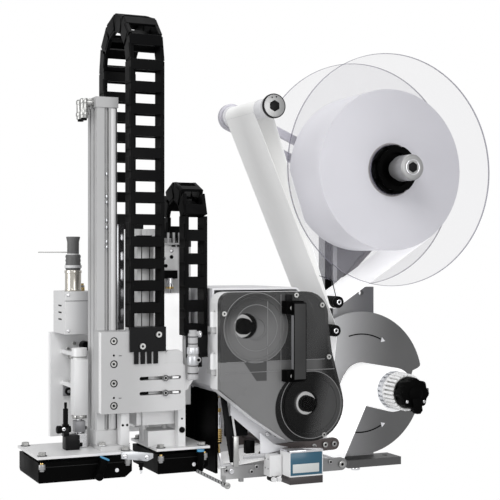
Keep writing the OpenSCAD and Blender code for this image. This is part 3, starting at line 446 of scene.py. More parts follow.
def add_box(bm, lo, hi):
    lo, hi = Vector(lo) * MM, Vector(hi) * MM
    made = bmesh.ops.create_cube(bm, size=1.0)["verts"]
    bmesh.ops.scale(bm, verts=made, vec=hi - lo)
    bmesh.ops.translate(bm, verts=made, vec=(lo + hi) / 2)
    return made


def add_prism(bm, outline, a, b):
    """A flat outline of (x, z) points, extruded from y a to y b."""
    face = bm.faces.new([bm.verts.new(Vector((x, a, z)) * MM) for x, z in outline])
    made = bmesh.ops.extrude_face_region(bm, geom=[face])["geom"]
    moved = [v for v in made if isinstance(v, bmesh.types.BMVert)]
    bmesh.ops.translate(bm, verts=moved, vec=(0, (b - a) * MM, 0))


def add_lathe(bm, profile, place, axis="Y", steps=48):
    """Spins (radius, along) points round an axis through a place. A profile whose ends both stand off
    the axis is joined into a ring first; ends on the axis are welded when the piece is made."""
    side = AXES["X"] if axis == "Z" else AXES["Z"]
    centre, axis = Vector(place) * MM, AXES[axis]
    points = [bm.verts.new(centre + (axis * d + side * r) * MM) for r, d in profile]
    ring = min(profile[0][0], profile[-1][0]) > WELD
    edges = [bm.edges.new(pair) for pair in zip(points, points[1:] + points[:1] if ring else points[1:])]
    bmesh.ops.spin(bm, geom=points + edges, cent=centre, axis=axis, angle=math.tau, steps=steps,
                   use_merge=True)


def rings(name, spots, profile, mat, body, axis="Z", width=0.2, steps=32):
    """Equal turned pieces, one at each spot."""
    bm = bmesh.new()
    for p in spots:
        add_lathe(bm, profile, p, axis, steps)
    return piece(name, bm, mat, body, width)


def turned(name, spots, profile, mat, body, axis="Z", width=0.2, steps=32):
    """Solid turned pieces, closed at both ends of the profile."""
    closed = [(0, profile[0][1]), *profile, (0, profile[-1][1])]
    return rings(name, spots, closed, mat, body, axis, width, steps)


def rods(name, spots, r, h, mat, body, axis="Z", width=0.2, steps=32):
    return turned(name, spots, [(r, 0), (r, h)], mat, body, axis, width, steps)


def tubes(name, spots, bore, r, h, mat, body, axis="Z", width=0.2, steps=32):
    return rings(name, spots, [(bore, 0), (r, 0), (r, h), (bore, h)], mat, body, axis, width, steps)


def lathe(name, profile, centre, mat, body, width=0.3, steps=48):
    """A profile of (radius, y) points turned round the Y axis through a centre of (x, z)."""
    return rings(name, [on(centre, 0)], profile, mat, body, "Y", width, steps)


def on(centre, y):
    """The point at y on the axis through a centre of (x, z)."""
    return centre[0], y, centre[1]


def blocks(name, boxes, mat, body, width=0.4):
    bm = bmesh.new()
    for lo, hi in boxes:
        add_box(bm, lo, hi)
    return piece(name, bm, mat, body, width)


def block(name, lo, hi, mat, body, width=0.5):
    return blocks(name, [(lo, hi)], mat, body, width)


def plate(name, outline, a, b, mat, body, width=0.5):
    bm = bmesh.new()
    add_prism(bm, outline, a, b)
    return piece(name, bm, mat, body, width)


def arc(cx, cz, r, a0, a1, n):
    return [(cx + r * math.cos(math.radians(a0 + (a1 - a0) * i / n)),
             cz + r * math.sin(math.radians(a0 + (a1 - a0) * i / n))) for i in range(n + 1)]


def screws(name, places, r, h, mat, body, dome=False):
    """Socket screws whose heads stand on the points and look forwards."""
    rim = 0.5 * r if dome else 0.12 * r
    head = [(0, 0), (r, 0), (r, h - rim * 0.8), (r - rim * 0.4, h - rim * 0.25), (r - rim, h),
            (r * 0.44, h), (r * 0.40, h * 0.4), (0, h * 0.38)]
    return rings(name, places, head, mat, body, "-Y", 0, 20)


def middle(node):
    """X and Z of the middle of a CAD node, to a tenth of a millimetre."""
    lo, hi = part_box(node)
    return [round((lo[i] + hi[i]) / 2 / MM, 1) for i in (0, 2)]


# Softened copies of the plain solids

def dress(node, width):
    """A copy of a CAD piece with rounded edges, shown in its place. Its large faces stay evenly shaded."""
    source = frame["nodes"][node]
    bm = bmesh.new()
    bm.from_mesh(source.data)
    bmesh.ops.transform(bm, matrix=source.matrix_world, verts=bm.verts)
    bmesh.ops.remove_doubles(bm, verts=bm.verts, dist=WELD)
    bmesh.ops.dissolve_limit(bm, angle_limit=math.radians(0.5), verts=bm.verts, edges=bm.edges)
    soften(bm, width)
    obj = mesh_object(node + "_soft", bm, NODE_MATERIAL[node])
    even = obj.modifiers.new("even", "WEIGHTED_NORMAL")
    even.keep_sharp = True
    even.weight = 90
    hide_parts(node)
    return obj


BODY_OF = {n: b for b, ns in frame["record"]["behaviour"]["bodies"].items() for n in ns}


def dress_all(width, names):
    for n in names.split():
        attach(dress(n, width), BODY_OF[n])


dress_all(0.7, "back_plate base_foot reel_post printer_housing slotted_plate slide_block pad_2_cylinder "
               "lift_post valve_box tamp_column peel_beams nip_arms badge_box side_guard drive_cylinder "
               "drive_rod pad_plate_2")
dress_all(0.4, "dancer_arm rewind_knob tall_chain_anchor chain_clamps short_chain_clamp reel_axle "
               "pad_plate_1 regulator")
dress_all(0.8, "pad_box_1 pad_box_2")


# Cable chains

CHAIN_H, BAR_T, SIDE_T = 26.0, 4.0, 5.4
LINK_PITCH = 31.0
BAR_LENGTH = 0.48
SIDE_LAP = 1.2


def add_link(bm, x, w, l, where, low):
    """One link from z 0 to l with its outside face at y 0, moved by a matrix. Its bars start at low * l."""
    made = []
    for x0, plate_x in ((0.0, -0.7), (w - SIDE_T, w - 2.3)):
        made += add_box(bm, (x0, 0, -SIDE_LAP), (x0 + SIDE_T, CHAIN_H, l + SIDE_LAP))
        made += add_box(bm, (plate_x, 3.5, l * 0.10), (plate_x + 3.0, CHAIN_H - 3.5, l * 0.72))
    # A bar with a thicker middle on the outside and on the inside
    for y0 in (-0.6, CHAIN_H - BAR_T + 0.2):
        made += add_box(bm, (SIDE_T - 4.0, y0, l * low),
                        (w - SIDE_T + 4.0, y0 + BAR_T, l * (low + BAR_LENGTH)))
    for y0 in (1.0, CHAIN_H - 3.5):
        made += add_box(bm, (SIDE_T - 1.0, y0, l * (low + 0.03)),
                        (w - SIDE_T + 1.0, y0 + 2.5, l * (low + 0.45)))
    bmesh.ops.translate(bm, verts=made, vec=(x * MM, 0, 0))
    bmesh.ops.transform(bm, verts=made, matrix=where)


def chain_arch(name, node, x, y, z, w, r, n, body, low):
    bm = bmesh.new()
    l = 2 * (r - CHAIN_H / 2) * math.tan(math.pi / 2 / n)
    for i in range(n):
        turn = Matrix.Rotation(-(i + 0.5) * math.pi / n, 4, "X")
        place = Matrix.Translation(Vector((0, y, z)) * MM)
        add_link(bm, x, w, l, place @ turn @ Matrix.Translation(Vector((0, -r, -l / 2)) * MM), low)
    for v in bm.verts:
        v.co.y = min(max(v.co.y, (y - r - 0.3) * MM), (y + r) * MM)
        v.co.z = max(v.co.z, z * MM)
    obj = piece(name, bm, "black_plastic", body, 0.5, 1)
    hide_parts(node)


def chain_run(name, node, x, y, z0, z1, w, low):
    bm = bmesh.new()
    n = max(1, round((z1 - z0) / LINK_PITCH))
    l = (z1 - z0) / n
    for i in range(n):
        add_link(bm, x, w, l, Matrix.Translation(Vector((0, y, z0 + i * l)) * MM), low)
    bmesh.ops.recalc_face_normals(bm, faces=bm.faces)
    soften(bm, 0.5, 1)
    obj = mesh_object(name, bm, "black_plastic")
    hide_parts(node)
    return obj


def span(node):
    lo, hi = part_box(node)
    return Vector(lo) / MM, Vector(hi) / MM


def strand_pair(tag, arch_n, body, low):
    f0, f1 = span(tag + "_front_strand")
    b0, b1 = span(tag + "_back_strand")
    x, w = f0.x + 0.8, f1.x - f0.x - 1.6
    y, z, r = (f0.y + b1.y) / 2, f1.z, (b1.y - f0.y) / 2
    chain_arch(tag + "_arch_links", tag + "_chain_loop", x, y, z, w, r, arch_n, body, low)
    front = chain_run(tag + "_front_links", tag + "_front_strand", x, f0.y, f0.z, z, w, low)
    back = chain_run(tag + "_back_links", tag + "_back_strand", x, b0.y, b0.z, z, w, low)
    return front, back, f0, b0, z


# Each arch moves half the travel of its strand: 40 of 80 mm, and 15 of 30 mm
front, back, f0, b0, top = strand_pair("tall", 6, "tall_loop", 0.61)
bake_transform(front)
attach(back, "machine")
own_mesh(back)
front, back, f0, b0, top = strand_pair("short", 4, "short_loop", -0.02)
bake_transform(front)
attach(back, "tamp_carriage")
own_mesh(back)


# Web runs between the machine and the dancer

def swing_web(node):
    """A fixed copy of a web run between a place on the machine and a place on the dancer."""
    obj = dress(node, 0)
    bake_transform(obj)


swing_web("web_back_run")
swing_web("web_front_run")


# Air fittings and strips of the tamp column

BASE, CARRIAGE, PAD_2 = "machine", "tamp_carriage", "pad_2_lift"
ELBOW_Y = (-118, -100)
COLUMN_FOOT, COLUMN_TOP = -144, 311
rods("elbow_stems", [(-428.3, y, 320) for y in ELBOW_Y], 5.4, 14, "nickel", CARRIAGE, "X")
turned("elbow_collars", [(-429, y, 296.7) for y in ELBOW_Y],
       [(5.8, 0), (5.8, 4), (6.7, 4.4), (6.7, 9), (5.8, 9.4), (5.8, 21), (6.4, 21.4), (6.4, 26), (4.6, 28)],
       "nickel", CARRIAGE)
rods("elbow_releases", [(-429, y, 293.8) for y in ELBOW_Y], 4.2, 3, "black_plastic", CARRIAGE)
blocks("column_sensors",
       [((-400.9, -130.2, z), (-398.2, -128.6, z + 4)) for z in (112, 120, 140, 150, 176, 184, 216)],
       "aluminium", CARRIAGE, 0.2)
# A white strip laid over the shaded groove region of the column, as painted light
block("column_highlight_strip", (-392.6, -130.35, COLUMN_FOOT), (-386.2, -129.4, COLUMN_TOP),
      "white_metal", CARRIAGE, 0.2)
# Black strips in the column's grooves, as painted shade
GROOVES = ((-402.2, 0.7), (-397.4, 0.7), (-385.4, 1.0))
blocks("column_groove_shadows", [((x, -130.1, COLUMN_FOOT), (x + w, -129.2, COLUMN_TOP)) for x, w in GROOVES],
       "black_metal", CARRIAGE, 0)
block("silver_strip", (-384, -126, -4), (-372, -121, 147), "mirror", CARRIAGE, 0.6)
block("cable_profile", (-356, -136, -52), (-331, -119, 124), "white_metal", CARRIAGE, 0.8)
# Black strips in the cable profile's grooves, as painted shade
blocks("profile_groove_shadows", [((x, -136.6, -50), (x + 1.2, -135.6, 122)) for x in (-350, -338)],
       "black_metal", CARRIAGE, 0.1)
block("profile_comb", (-354, -136, 124), (-333, -122, 131), "black_plastic", CARRIAGE, 0.8)


# Slotted plate

SLOTS_Z = (-71, -92)
blocks("slot_shadows", [((-361.5, -158, z - 2.3), (-346.5, -154.4, z + 2.3)) for z in SLOTS_Z],
       "black_plastic", CARRIAGE, 0.3)
HEADS = [(-400, -165.5, z) for z in (-17, -49, -76, -107)]
STUDS = [(-325, -170.1, z) for z in SLOTS_Z] + [(-336, -173.6, -9), (-360, -173.6, -25)]
tubes("counterbore_shadows", [(x, -166.2, z) for x, y, z in HEADS], 4.0, 5.4, 0.5,
      "black_metal", CARRIAGE, "Y", 0)
rods("socket_shadows", HEADS + STUDS, 2.0, 1.4, "black_metal", CARRIAGE, "Y", 0, 6)
tubes("slot_screw_rings", [(-325, -170.6, z) for z in SLOTS_Z], 2.8, 4.5, 1.6,
      "dark_grey", CARRIAGE, "Y", 0)
blocks("slot_light", [((-313, -165.6, z - 1.5), (-303.8, -164.8, z + 1.5)) for z in SLOTS_Z],
       "glow_soft", CARRIAGE, 0)
# Glowing strips on the plate's left side, as painted highlights
blocks("plate_side_highlights", [((-418.4, y, -117.4), (-417.7, y + 3.4, -4.6)) for y in (-164.6, -158)],
       "glow_soft", CARRIAGE, 0)
blocks("plate_marks", [((-393, -166.3, z), (-389, -165.8, z + 0.8)) for z in (-38, -97)],
       "black_metal", CARRIAGE, 0)
rods("plate_hole_shadows", [(-400, -164.9, z) for z in (-37, -96)], 1.5, 2,
     "black_plastic", CARRIAGE, "Y", 0)
tubes("plate_feet", [(-409, -141, -165.3), (-375, -141, -165.3)], 3.8, 6.4, 1.2, "steel", CARRIAGE)


# Slide block seen between the two chains

FITTING = (-294, -101.5)
blocks("white_comb", [((-308, -107, 118), (-279, -95, 121))]
       + [((x, -107, 121), (x + 3, -104, 136)) for x in (-308, -299.3, -290.6, -282)],
       "white_metal", CARRIAGE, 0.5)
block("cable_clip", (-307, -101, 68), (-281, -95, 80), "black_plastic", CARRIAGE, 1.0)
turned("nickel_fitting", [(*FITTING, 47)],
       [(3, 0), (3, 5), (5.5, 5.4), (5.5, 13), (4.2, 13.4), (4.2, 22)], "chrome", CARRIAGE)
rings("brass_collar", [(*FITTING, 53)], [(5.4, 0), (6.0, 0.4), (6.0, 3), (5.4, 3.4)], "brass", CARRIAGE)
screws("block_holes", [(-301, -95.4, 98), (-289, -95.4, 109)], 2.8, 1.4, "steel", CARRIAGE)
# Black discs in the block's holes, as painted shade
screws("block_hole_shadows", [(-289, -95.4, 100), (-298, -95.4, 87)], 2.8, 1.0, "black_plastic", CARRIAGE)
# Glowing sheets on the block's front, lighting what the chains shade, as painted light
block("block_front_painted_light", (-303, -96.2, -46), (-272, -94.8, 46), "glow_white", CARRIAGE, 0.3)
block("block_upper_painted_light", (-303, -95.6, 80.5), (-279, -94.8, 117), "glow_soft", CARRIAGE, 0.3)


# Pads

PLATE_TOP, BOX_TOP = -171.5, -179.5
PAD_FRONT = -162.6
BOLT_R, BOLT_H, BOLT_BEVEL = 5.4, 5.2, 0.12 * 5.4
BOLT = [(BOLT_R, 0), (BOLT_R, BOLT_H - BOLT_BEVEL), (BOLT_R - BOLT_BEVEL, BOLT_H)]
for tag, body, x0, x1 in (("1", "pad_1", -508, -371), ("2", "pad_2", -337, -256)):
    spots = [(x, y) for x in (x0 + 9, x1 - 9) for y in (-157, -59)]
    ends = [x0 + 7, x1 - 8]
    turned(f"pad_{tag}_bolts", [(x, y, PLATE_TOP + 0.1) for x, y in spots], BOLT, "nickel", body, "Z", 0, 6)
    tubes(f"pad_{tag}_washers", [(x, y, PLATE_TOP + 0.05) for x, y in spots], 5.6, 6.8, 0.9,
          "dark_grey", body, width=0.1)
    turned(f"pad_{tag}_bushings", [(x, PAD_FRONT, BOX_TOP - 12) for x in ends],
           [(3.6, 0), (3.6, 2.4), (5.0, 2.8), (5.0, 9.4), (4.6, 9.8)], "knob_metal", body)
    rods(f"pad_{tag}_threads", [(x, PAD_FRONT, BOX_TOP - 2.5) for x in ends], 3.0, 2.3,
         "brass", body, width=0.1)
    rings(f"pad_{tag}_dot", [(x1 - 24, -164.2, -197)], [(0, -0.5), (2.8, -0.4), (2.8, 0.8), (0, 0.8)],
          "white_paint", body, "Y")
    blocks(f"pad_{tag}_seam", [((x0 + 4, -164.15, -186.4), (x1 - 4, -163.8, -185.8))], "rubber", body, 0)
    rods(f"pad_{tag}_pins",
         [(x0 + f * (x1 - x0), y, -209.6) for f in (0.36, 0.42, 0.48) for y in (-130, -90)],
         1.7, 2.4, "steel", body)

HOSE, LINK = (-272.5, -171.2), (-362, -170.8)
tubes("hose_2_ring", [(*HOSE, -178)], 2.6, 5.3, 2.8, "blue", PAD_2)
turned("hose_2_fitting", [(*HOSE, -206)], [(3.6, 0), (4.2, 8), (5.0, 10), (5.0, 27.8)], "deep_black", PAD_2)
plate("hose_1_ring", [(-421, -176.6), (-410.6, -181.4), (-409.6, -179.0), (-420, -174.4)],
      -178, -167, "blue", CARRIAGE, 0.6)
plate("hose_1_fitting", [(-420, -177.4), (-411, -181.4), (-418.6, -202), (-428, -199)],
      -177.4, -166.4, "deep_black", CARRIAGE, 1.5)
turned("hose_1_end", [(-424, -179.5, -202)], [(4, 0), (5.6, 1.2), (5.6, 13)], "deep_black", CARRIAGE, "Y")
plate("pad_link",
      [(-390, -171.8), (-372, -171.8), (-343, -176.5), (-343, -183), (-352, -187), (-390, -181)],
      -168.6, -166.0, "aluminium", CARRIAGE, 0.5)
screws("link_buttons", [(-384, -168.6, -178), (-352, -168.6, -181)], 3.4, 2.0,
       "chrome", CARRIAGE, dome=True)
turned("link_fitting", [(*LINK, -198)], [(2.4, 0), (2.4, 4), (3.4, 4.4), (3.4, 11)],
       "black_plastic", CARRIAGE)
rods("link_tail", [(*LINK, -203)], 1.4, 5.2, "white_paint", CARRIAGE)


# Flow valve and regulator, and what stands on the plate of the first pad

REGULATOR, CYLINDER = (-285.5, -174), (-430, -97)
turned("valve_stem", [(-455, -115, -140)],
       [(5.0, 0), (5.0, 4), (3.6, 4.4), (3.6, 26), (2.0, 26.4), (2.0, 35)], "black_plastic", CARRIAGE)
turned("valve_barrel", [(-468, -115, -143)], [(4.4, 0), (5.6, 1.2), (5.6, 6), (4.8, 6.4), (4.8, 20)],
       "black_plastic", CARRIAGE, "X")
screws("valve_screw", [(-459, -119.6, -142)], 2.6, 1.6, "chrome", CARRIAGE)
blocks("valve_block",
       [((-457, -125, -171.5), (-437, -105, -151)), ((-459, -121, -153), (-451, -109, -140))],
       "black_metal", CARRIAGE, 0.8)
rods("valve_stub", [(-437.4, -115, -166)], 3.0, 6.4, "black_plastic", CARRIAGE, "X")
block("foot_panel", (-385, -150, -165.4), (-372, -134, -120), "white_metal", CARRIAGE, 0.8)
rods("panel_dots", [(-382, -150.5, -137), (-375.6, -150.5, -137)], 1.7, 0.8,
     "black_plastic", CARRIAGE, "Y", 0)
turned("guide_seal", [(-294.5, -156.3, -148)], [(3.4, 0), (4.2, 0.8), (4.2, 3)],
       "black_plastic", PAD_2, "Y")
rods("leg_dot", [(-294.5, -154.4, -132)], 1.4, 1.2, "black_plastic", PAD_2, "Y", 0)
screws("riser_screws", [(-279, -158, -34), (-286, -158, -74)], 2.6, 1.4, "steel", PAD_2)
tubes("regulator_hex", [(*REGULATOR, -37.6)], 7, 9.4, 9.2, "aluminium", PAD_2, "Z", 0.4, 6)
tubes("regulator_grooves", [(*REGULATOR, z) for z in (-66, -55.2, -24, -14)], 6.6, 7.8,
      1.1, "black_metal", PAD_2)
turned("regulator_foot", [(*REGULATOR, -74.4)], [(6.2, 0), (7.5, 1.4), (7.5, 7)], "grey_paint", PAD_2)
rings("regulator_sleeve", [(*REGULATOR, -53)],
      [(6.8, 0), (8.2, 0.6), (8.2, 12), (6.8, 12.6)], "aluminium", PAD_2)
rods("regulator_eye", [(-280.5, -184.6, -46)], 2.2, 1, "black_plastic", PAD_2, "Y", 0)
tubes("elbow_ring", [(-277, -174, -10)], 3.6, 5.4, 2.6, "chrome", PAD_2, "X")
tubes("rod_clamp", [(*CYLINDER, -151.2)], 3.8, 7.4, 2.4, "steel", CARRIAGE)


# Valve box, its connectors, and what else is fixed to the back plate at the left

CONNECTOR = (-426, -50)
turned("connector_nut", [(*CONNECTOR, 50)],
       [(12.2, 0), (12.2, 3), (11.8, 3.4), (11.8, 26), (12.6, 26.6), (12.6, 30.4)], "warm_nickel", BASE)
rings("connector_boot", [(*CONNECTOR, 80)], [(0, 0)]
      + [(11.4 if i % 2 else 10.6, 0.8 + 2.8 * i) for i in range(9)] + [(0, 26)],
      "grey_plastic", BASE, width=0.3)
turned("connector_top", [(*CONNECTOR, 105)], [(8.7, 0), (8.7, 17), (10.4, 24.6), (8.0, 24.8), (7.4, 20)],
       "grey_plastic", BASE)
rods("connector_wire", [(-478, -50, 107)], 0.8, 46, "nickel", BASE, "X", 0, 12)
turned("small_connector", [(-410, -40, 50)], [(4.3, 0), (4.3, 5), (3.0, 5.4), (3.0, 11)], "brass", BASE)
# Black strips in the valve box's slots, as painted shade
blocks("box_slot_shadows", [((-445.4, -56, z), (-444.6, -40, z + 2)) for z in (8, 18, 28)],
       "black_plastic", BASE, 0)
screws("box_screws", [(x, -75, z) for x in (-440, -405) for z in (-7, 45)], 2.4, 1.0, "steel", BASE)
block("box_lid_line", (-445.2, -75.3, 36), (-399.8, -74.7, 36.6), "black_metal", BASE, 0)
turned("plate_knob", [(-415, -26, -49)], [(5, 0), (7, 1.4), (7, 10), (3.6, 11), (3.6, 16)],
       "black_plastic", BASE, "Y")
block("hose_clamp", (-431, -15, -108), (-415, -10, -88), "grey_metal", BASE, 0.8)
tubes("hose_clamp_eye", [(-423.5, -19, -101)], 2.6, 5.6, 5, "black_metal", BASE, "Y")
rods("hose_clamp_pin", [(-423.5, -18.4, -101)], 2.6, 5, "steel", BASE, "Y")
turned("plate_left_knob", [(-417.5, -26, -49)], [(4.6, 0), (5.4, 1), (5.4, 16)], "nickel", BASE, "Y")
turned("plate_left_plug", [(-399, -30, -33)], [(5.6, 0), (6.8, 1.2), (6.8, 20)], "black_plastic", BASE, "Y")
plate("guard_wing",
      [(-255.5, -80), (-253.3, -80), (-253.3, -88), (-238.5, -100), (-238.5, -206), (-255.5, -206)],
      -58, -54.5, "deep_black", BASE, 0.4)
screws("plate_left_screws", [(-413.5, -10, -30), (-423, -10, -38)], 2.6, 1.6, "nickel", BASE)
tick_places = [(-236.5 - 4.41 * i, -229.6 + 2.35 * i) for i in range(1, 11)]
blocks("blow_ticks",
       [((x, -182.9, z), (x + 0.8, -182, z + 3.2)) for x, z in tick_places], "deep_black", BASE, 0)
# Black discs in the back plate's holes, as painted shade
rods("plate_left_hole_shadows", [(x, -10.6, z) for x, z in ((-424, -158), (-396, -158), (-368, -158))], 2.8, 1,
     "black_plastic", BASE, "Y", 0)
block("cylinder_profile", (-440.3, -107.3, -126), (-419.7, -86.7, -46), "white_metal", BASE, 1.2)
block("cylinder_foot", (-438, -105, -150), (-423, -90, -134), "grey_metal", BASE, 0.8)
rings("cylinder_bands", [(*CYLINDER, z) for z in (-131, -44)],
      [(9.4, 0), (10.6, 0.4), (10.6, 5), (9.4, 5.4)], "nickel", BASE)


# Print unit: cover lines, handle, ribbon spools and the plate behind them

COVER_Y = -208.0
LINE_R = 0.45
# Thin lines on the cover's moulded ridges, lighter grey as painted highlight
bm = bmesh.new()
for cx, cz, r in ((-202, -1, 50), (-202, -1, 33), (-114, -115, 49)):
    add_lathe(bm, [(r - LINE_R, 0), (r + LINE_R, 0), (r + LINE_R, 0.5), (r - LINE_R, 0.5)],
              (cx, COVER_Y - 0.4, cz), "Y", 72)
for x, z0, z1 in ((-184, -62, 40), (-163, -90, 46)):
    add_box(bm, (x - LINE_R, COVER_Y - 0.4, z0), (x + LINE_R, COVER_Y + 0.1, z1))
for x0, x1, z in ((-248, -92, -49), (-250, -76, -64)):
    add_box(bm, (x0, COVER_Y - 0.4, z - LINE_R), (x1, COVER_Y + 0.1, z + LINE_R))
piece("cover_lines", bm, "cover_edge", "cover", 0)
plate("ribbon_plate", [(-244, -70)] + arc(-223, -56, 17, 180, 0, 8)
      + [(-204, -64), (-150, -140), (-158, -150)], -171.5, -169.2, "white_metal", BASE, 0.4)
screws("ribbon_plate_screws",
       [(-232, -171.5, -76), (-223, -171.5, -58), (-188, -171.5, -92), (-165, -171.5, -126)],
       3.0, 1.4, "steel", BASE)
for tag, body, cx, cz, y, deep in (("supply", "ribbon_supply", -203, -1, -159, 3.6),
                                   ("rewind", "ribbon_rewind", -114, -115, -188, 30)):
    # The white cores glow, as painted light
    lathe(f"ribbon_{tag}_core", [(12.2, y - 1.4), (16.4, y - 0.8), (17.0, y), (17.0, y + 3), (12.2, y + 3)],
          (cx, cz), "glow_white", body, 0.3)
    lathe(f"ribbon_{tag}_neck", [(12.1, y), (15.2, y + 2.9), (15.2, y + deep), (12.1, y + deep)],
          (cx, cz), "deep_black", body)
    lathe(f"ribbon_{tag}_hub", [(0, y - 15), (9.6, y - 15), (11.6, y - 13.6), (12.3, y + 2), (0, y + 2)],
          (cx, cz), "deep_black", body)
block("cover_latch", (-156, -211, 34), (-146, -207.9, 46), "black_metal", "cover", 0.8)
bm = bmesh.new()
add_box(bm, (-155, -233.6, -76), (-134.5, -225, 35))
for z0, z1 in ((18.5, 37), (-79, -62)):
    add_box(bm, (-162, -225.6, z0), (-134.5, -208.2, z1))
    add_box(bm, (-155, -227, z0 + 1), (-134.5, -215, z1 - 1.2))
handle = piece("handle_bracket", bm, "deep_black", "cover", 0.8)
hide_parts("cover_handle")
block("handle_face", (-153.6, -234, -74.4), (-135.8, -233.3, 33.4), "handle_face", "cover", 0.5)
block("handle_edge", (-155.2, -233.0, -60), (-154.4, -226, 17), "grey_metal", "cover", 0.2)
screws("handle_caps", [(-153.8, -225.6, 27), (-153.2, -225.6, -70.5)], 3.0, 0.9, "nickel", "cover")
# Black hex discs in the cover screws' sockets, as painted shade
rods("cover_socket_shadows",
     [(x, -210.6, z) for x, z in ((-252, 20), (-139, 45), (-97, 30), (-86, -46), (-94, -159.5))], 1.6, 1.0,
     "black_metal", "cover", "Y", 0, 6)


# Under the print unit

NIP, LINER, PEEL = middle("nip_roller"), middle("liner_roller"), middle("peel_roller")
SPRING = (-230, -136)
BEAM_SCREWS = ((-232, -208.5), (-192, -213), (-184, -206.5), (-62, -208))
NIP_SCREWS = ((-56, -181), (-90, -183))
plate("front_lower_plate",
      [(-222, -111), (-150, -166.2), (-103, -166.2), (-103, -171), (-129, -192), (-156, -192), (-178, -167),
       (-222, -130)], -161.5, -159.5, "white_paint", BASE, 0.3)
screws("lower_plate_screw", [(-163, -161.5, -161)], 4.0, 2.6, "steel", BASE)
block("black_square", (-192, -150, -190), (-178, -140, -171), "black_plastic", BASE, 0.6)
# A black block inside the lower print unit, as painted shade
block("inside_shadow", (-212, -120, -168), (-176, -112, -138), "black_metal", BASE, 0.8)
plate("deflector_blade", [(-238.4, -99.4), (-228, -107.8), (-213, -199), (-223, -199)],
      -162.5, -160.5, "black_metal", BASE, 0.4)
plate("pale_strip", [(-223, -109.4), (-219.5, -112.2), (-206.4, -198), (-209.6, -198)],
      -160.3, -158.6, "white_metal", BASE, 0.3)
plate("silver_angle",
      [(-243, -183), (-239, -183), (-236, -199.5), (-223, -199.5), (-223, -203), (-239.5, -203)],
      -167.4, -163, "steel", BASE, 0.5)
plate("front_tab",
      [(-179.2, -157.3), (-156.6, -174.8), (-133.8, -180.7), (-150.1, -185.5), (-178.4, -189.5)],
      -171.4, -169.2, "white_paint", BASE, 0.4)
plate("nip_link",
      [(-206.8, -188.8), (-187.7, -187.2), (-157.1, -187.8), (-134.3, -180.5), (-134.3, -184.9),
       (-157.1, -193.7), (-206.8, -193.2)], -173.4, -171.8, "post_metal", BASE, 0.4)
# Black hex discs in the screw sockets, as painted shade
rods("beam_socket_shadows", [(x, -170.6, z) for x, z in BEAM_SCREWS] + [(x, -171.7, z) for x, z in NIP_SCREWS],
     1.8, 1.2, "deep_black", BASE, "Y", 0, 6)
rods("nip_socket_shadow", [on(NIP, -173.1)], 1.8, 1.2, "deep_black", "nip_roller", "Y", 0, 6)
rods("liner_socket_shadow", [on(LINER, -172.3)], 2.2, 1.2, "deep_black", "liner_roller", "Y", 0, 6)
screws("beam_screws", [(x, -168, z) for x, z in BEAM_SCREWS], 3.4, 2.2, "knob_metal", BASE)
screws("nip_screws", [(x, -169, z) for x, z in NIP_SCREWS], 4.2, 2.4, "knob_metal", BASE)
screws("nip_end", [on(NIP, -171.2)], 4.2, 1.6, "nickel", "nip_roller")
screws("liner_end", [on(LINER, -169.4)], 5.2, 2.6, "nickel", "liner_roller")
turned("peel_end", [on(PEEL, -171.6)], [(3.4, 0), (3.8, 0.4), (3.8, 3.4)], "chrome", "peel_roller", "Y")
plate("peel_end_arm", [(-221, -160), (-213, -160), (-213, -204), (-221, -204)],
      -171.2, -168.2, "nickel", BASE, 0.6)
turned("spring_rod", [(*SPRING, -152)], [(4.8, 0), (4.8, 24), (3.2, 24.5), (3.2, 45.5)], "chrome", BASE)
rings("spring_coils", [(*SPRING, -171.5 + 2.7 * i) for i in range(7)],
      [(3.0, 0), (5.2, 0.1), (5.2, 1.5), (3.0, 1.6)], "brass", BASE)
rods("spring_foot", [(*SPRING, -174.3)], 3.9, 8.4, "black_plastic", BASE)
tubes("blow_end", [(-236, -184, -228)], 1.6, 4.6, 2, "nickel", BASE, "Y")


# Badge box with a blank panel

block("badge_panel", (-150.6, -214.2, -215.4), (-99.4, -212.7, -182.9), "teal", BASE, 0.2)
block("badge_strip", (-147, -214.6, -211.6), (-104.5, -214.0, -199.0), "pale_strip", BASE, 0.2)
block("badge_frame_top", (-152.2, -214.4, -182.4), (-97.8, -180, -179.3), "chrome", BASE, 0.4)
block("badge_base", (-151.4, -214.3, -228.2), (-98.2, -183.8, -217.2), "base_brown", BASE, 0.5)
turned("thumb_screws", [(x, -192.4, -222) for x in (-168, -160)], [(3.2, 0), (3.9, 0.8), (3.9, 14)],
       "black_plastic", BASE, "Y")
rods("block_dots", [(-172.3, y, z) for y in (-184, -174) for z in (-194, -208)], 1.0, 0.6,
     "black_plastic", BASE, "X", 0, 12)


# Supply reel, dancer and guide rollers

REEL, DANCER = middle("reel_discs"), middle("dancer_roller")
GUIDES = (middle("upper_guide_roller"), middle("lower_guide_roller"))
lathe("reel_knob_skin",
      [(7.2, -219.8), (16.6, -220.2), (18.4, -219.6), (19.7, -218), (19.7, -187.4), (7.2, -187.4)], REEL,
      "knob_metal", "reel", 0.3, 64)
# A black hex in the knob's socket, as painted shade
rods("reel_socket_shadow", [on(REEL, -221.0)], 8.2, 9, "black_metal", "reel", "Y", 0.5, 6)
lathe("reel_inner_ring", [(10.4, -220.7), (12.0, -220.7), (12.0, -219.6), (10.4, -219.6)],
      REEL, "chrome", "reel", 0.1)
for i, y in enumerate((-161.3, -53.7)):
    lathe(f"disc_edge_{i}", [(179.3, y - 0.1), (180.1, y - 0.1), (180.1, y + 3.1), (179.3, y + 3.1)], REEL,
          "disc_edge", "reel", 0.2, 128)
    lathe(f"disc_bore_{i}", [(38.4, y - 0.1), (39.6, y - 0.1), (39.6, y + 3.1), (38.4, y + 3.1)], REEL,
          "disc_edge", "reel", 0.1, 72)
lathe("roll_core", [(38.6, -158.4), (41.6, -158.4), (41.6, -157), (38.6, -157)], REEL,
      "card", "reel", 0.2, 64)
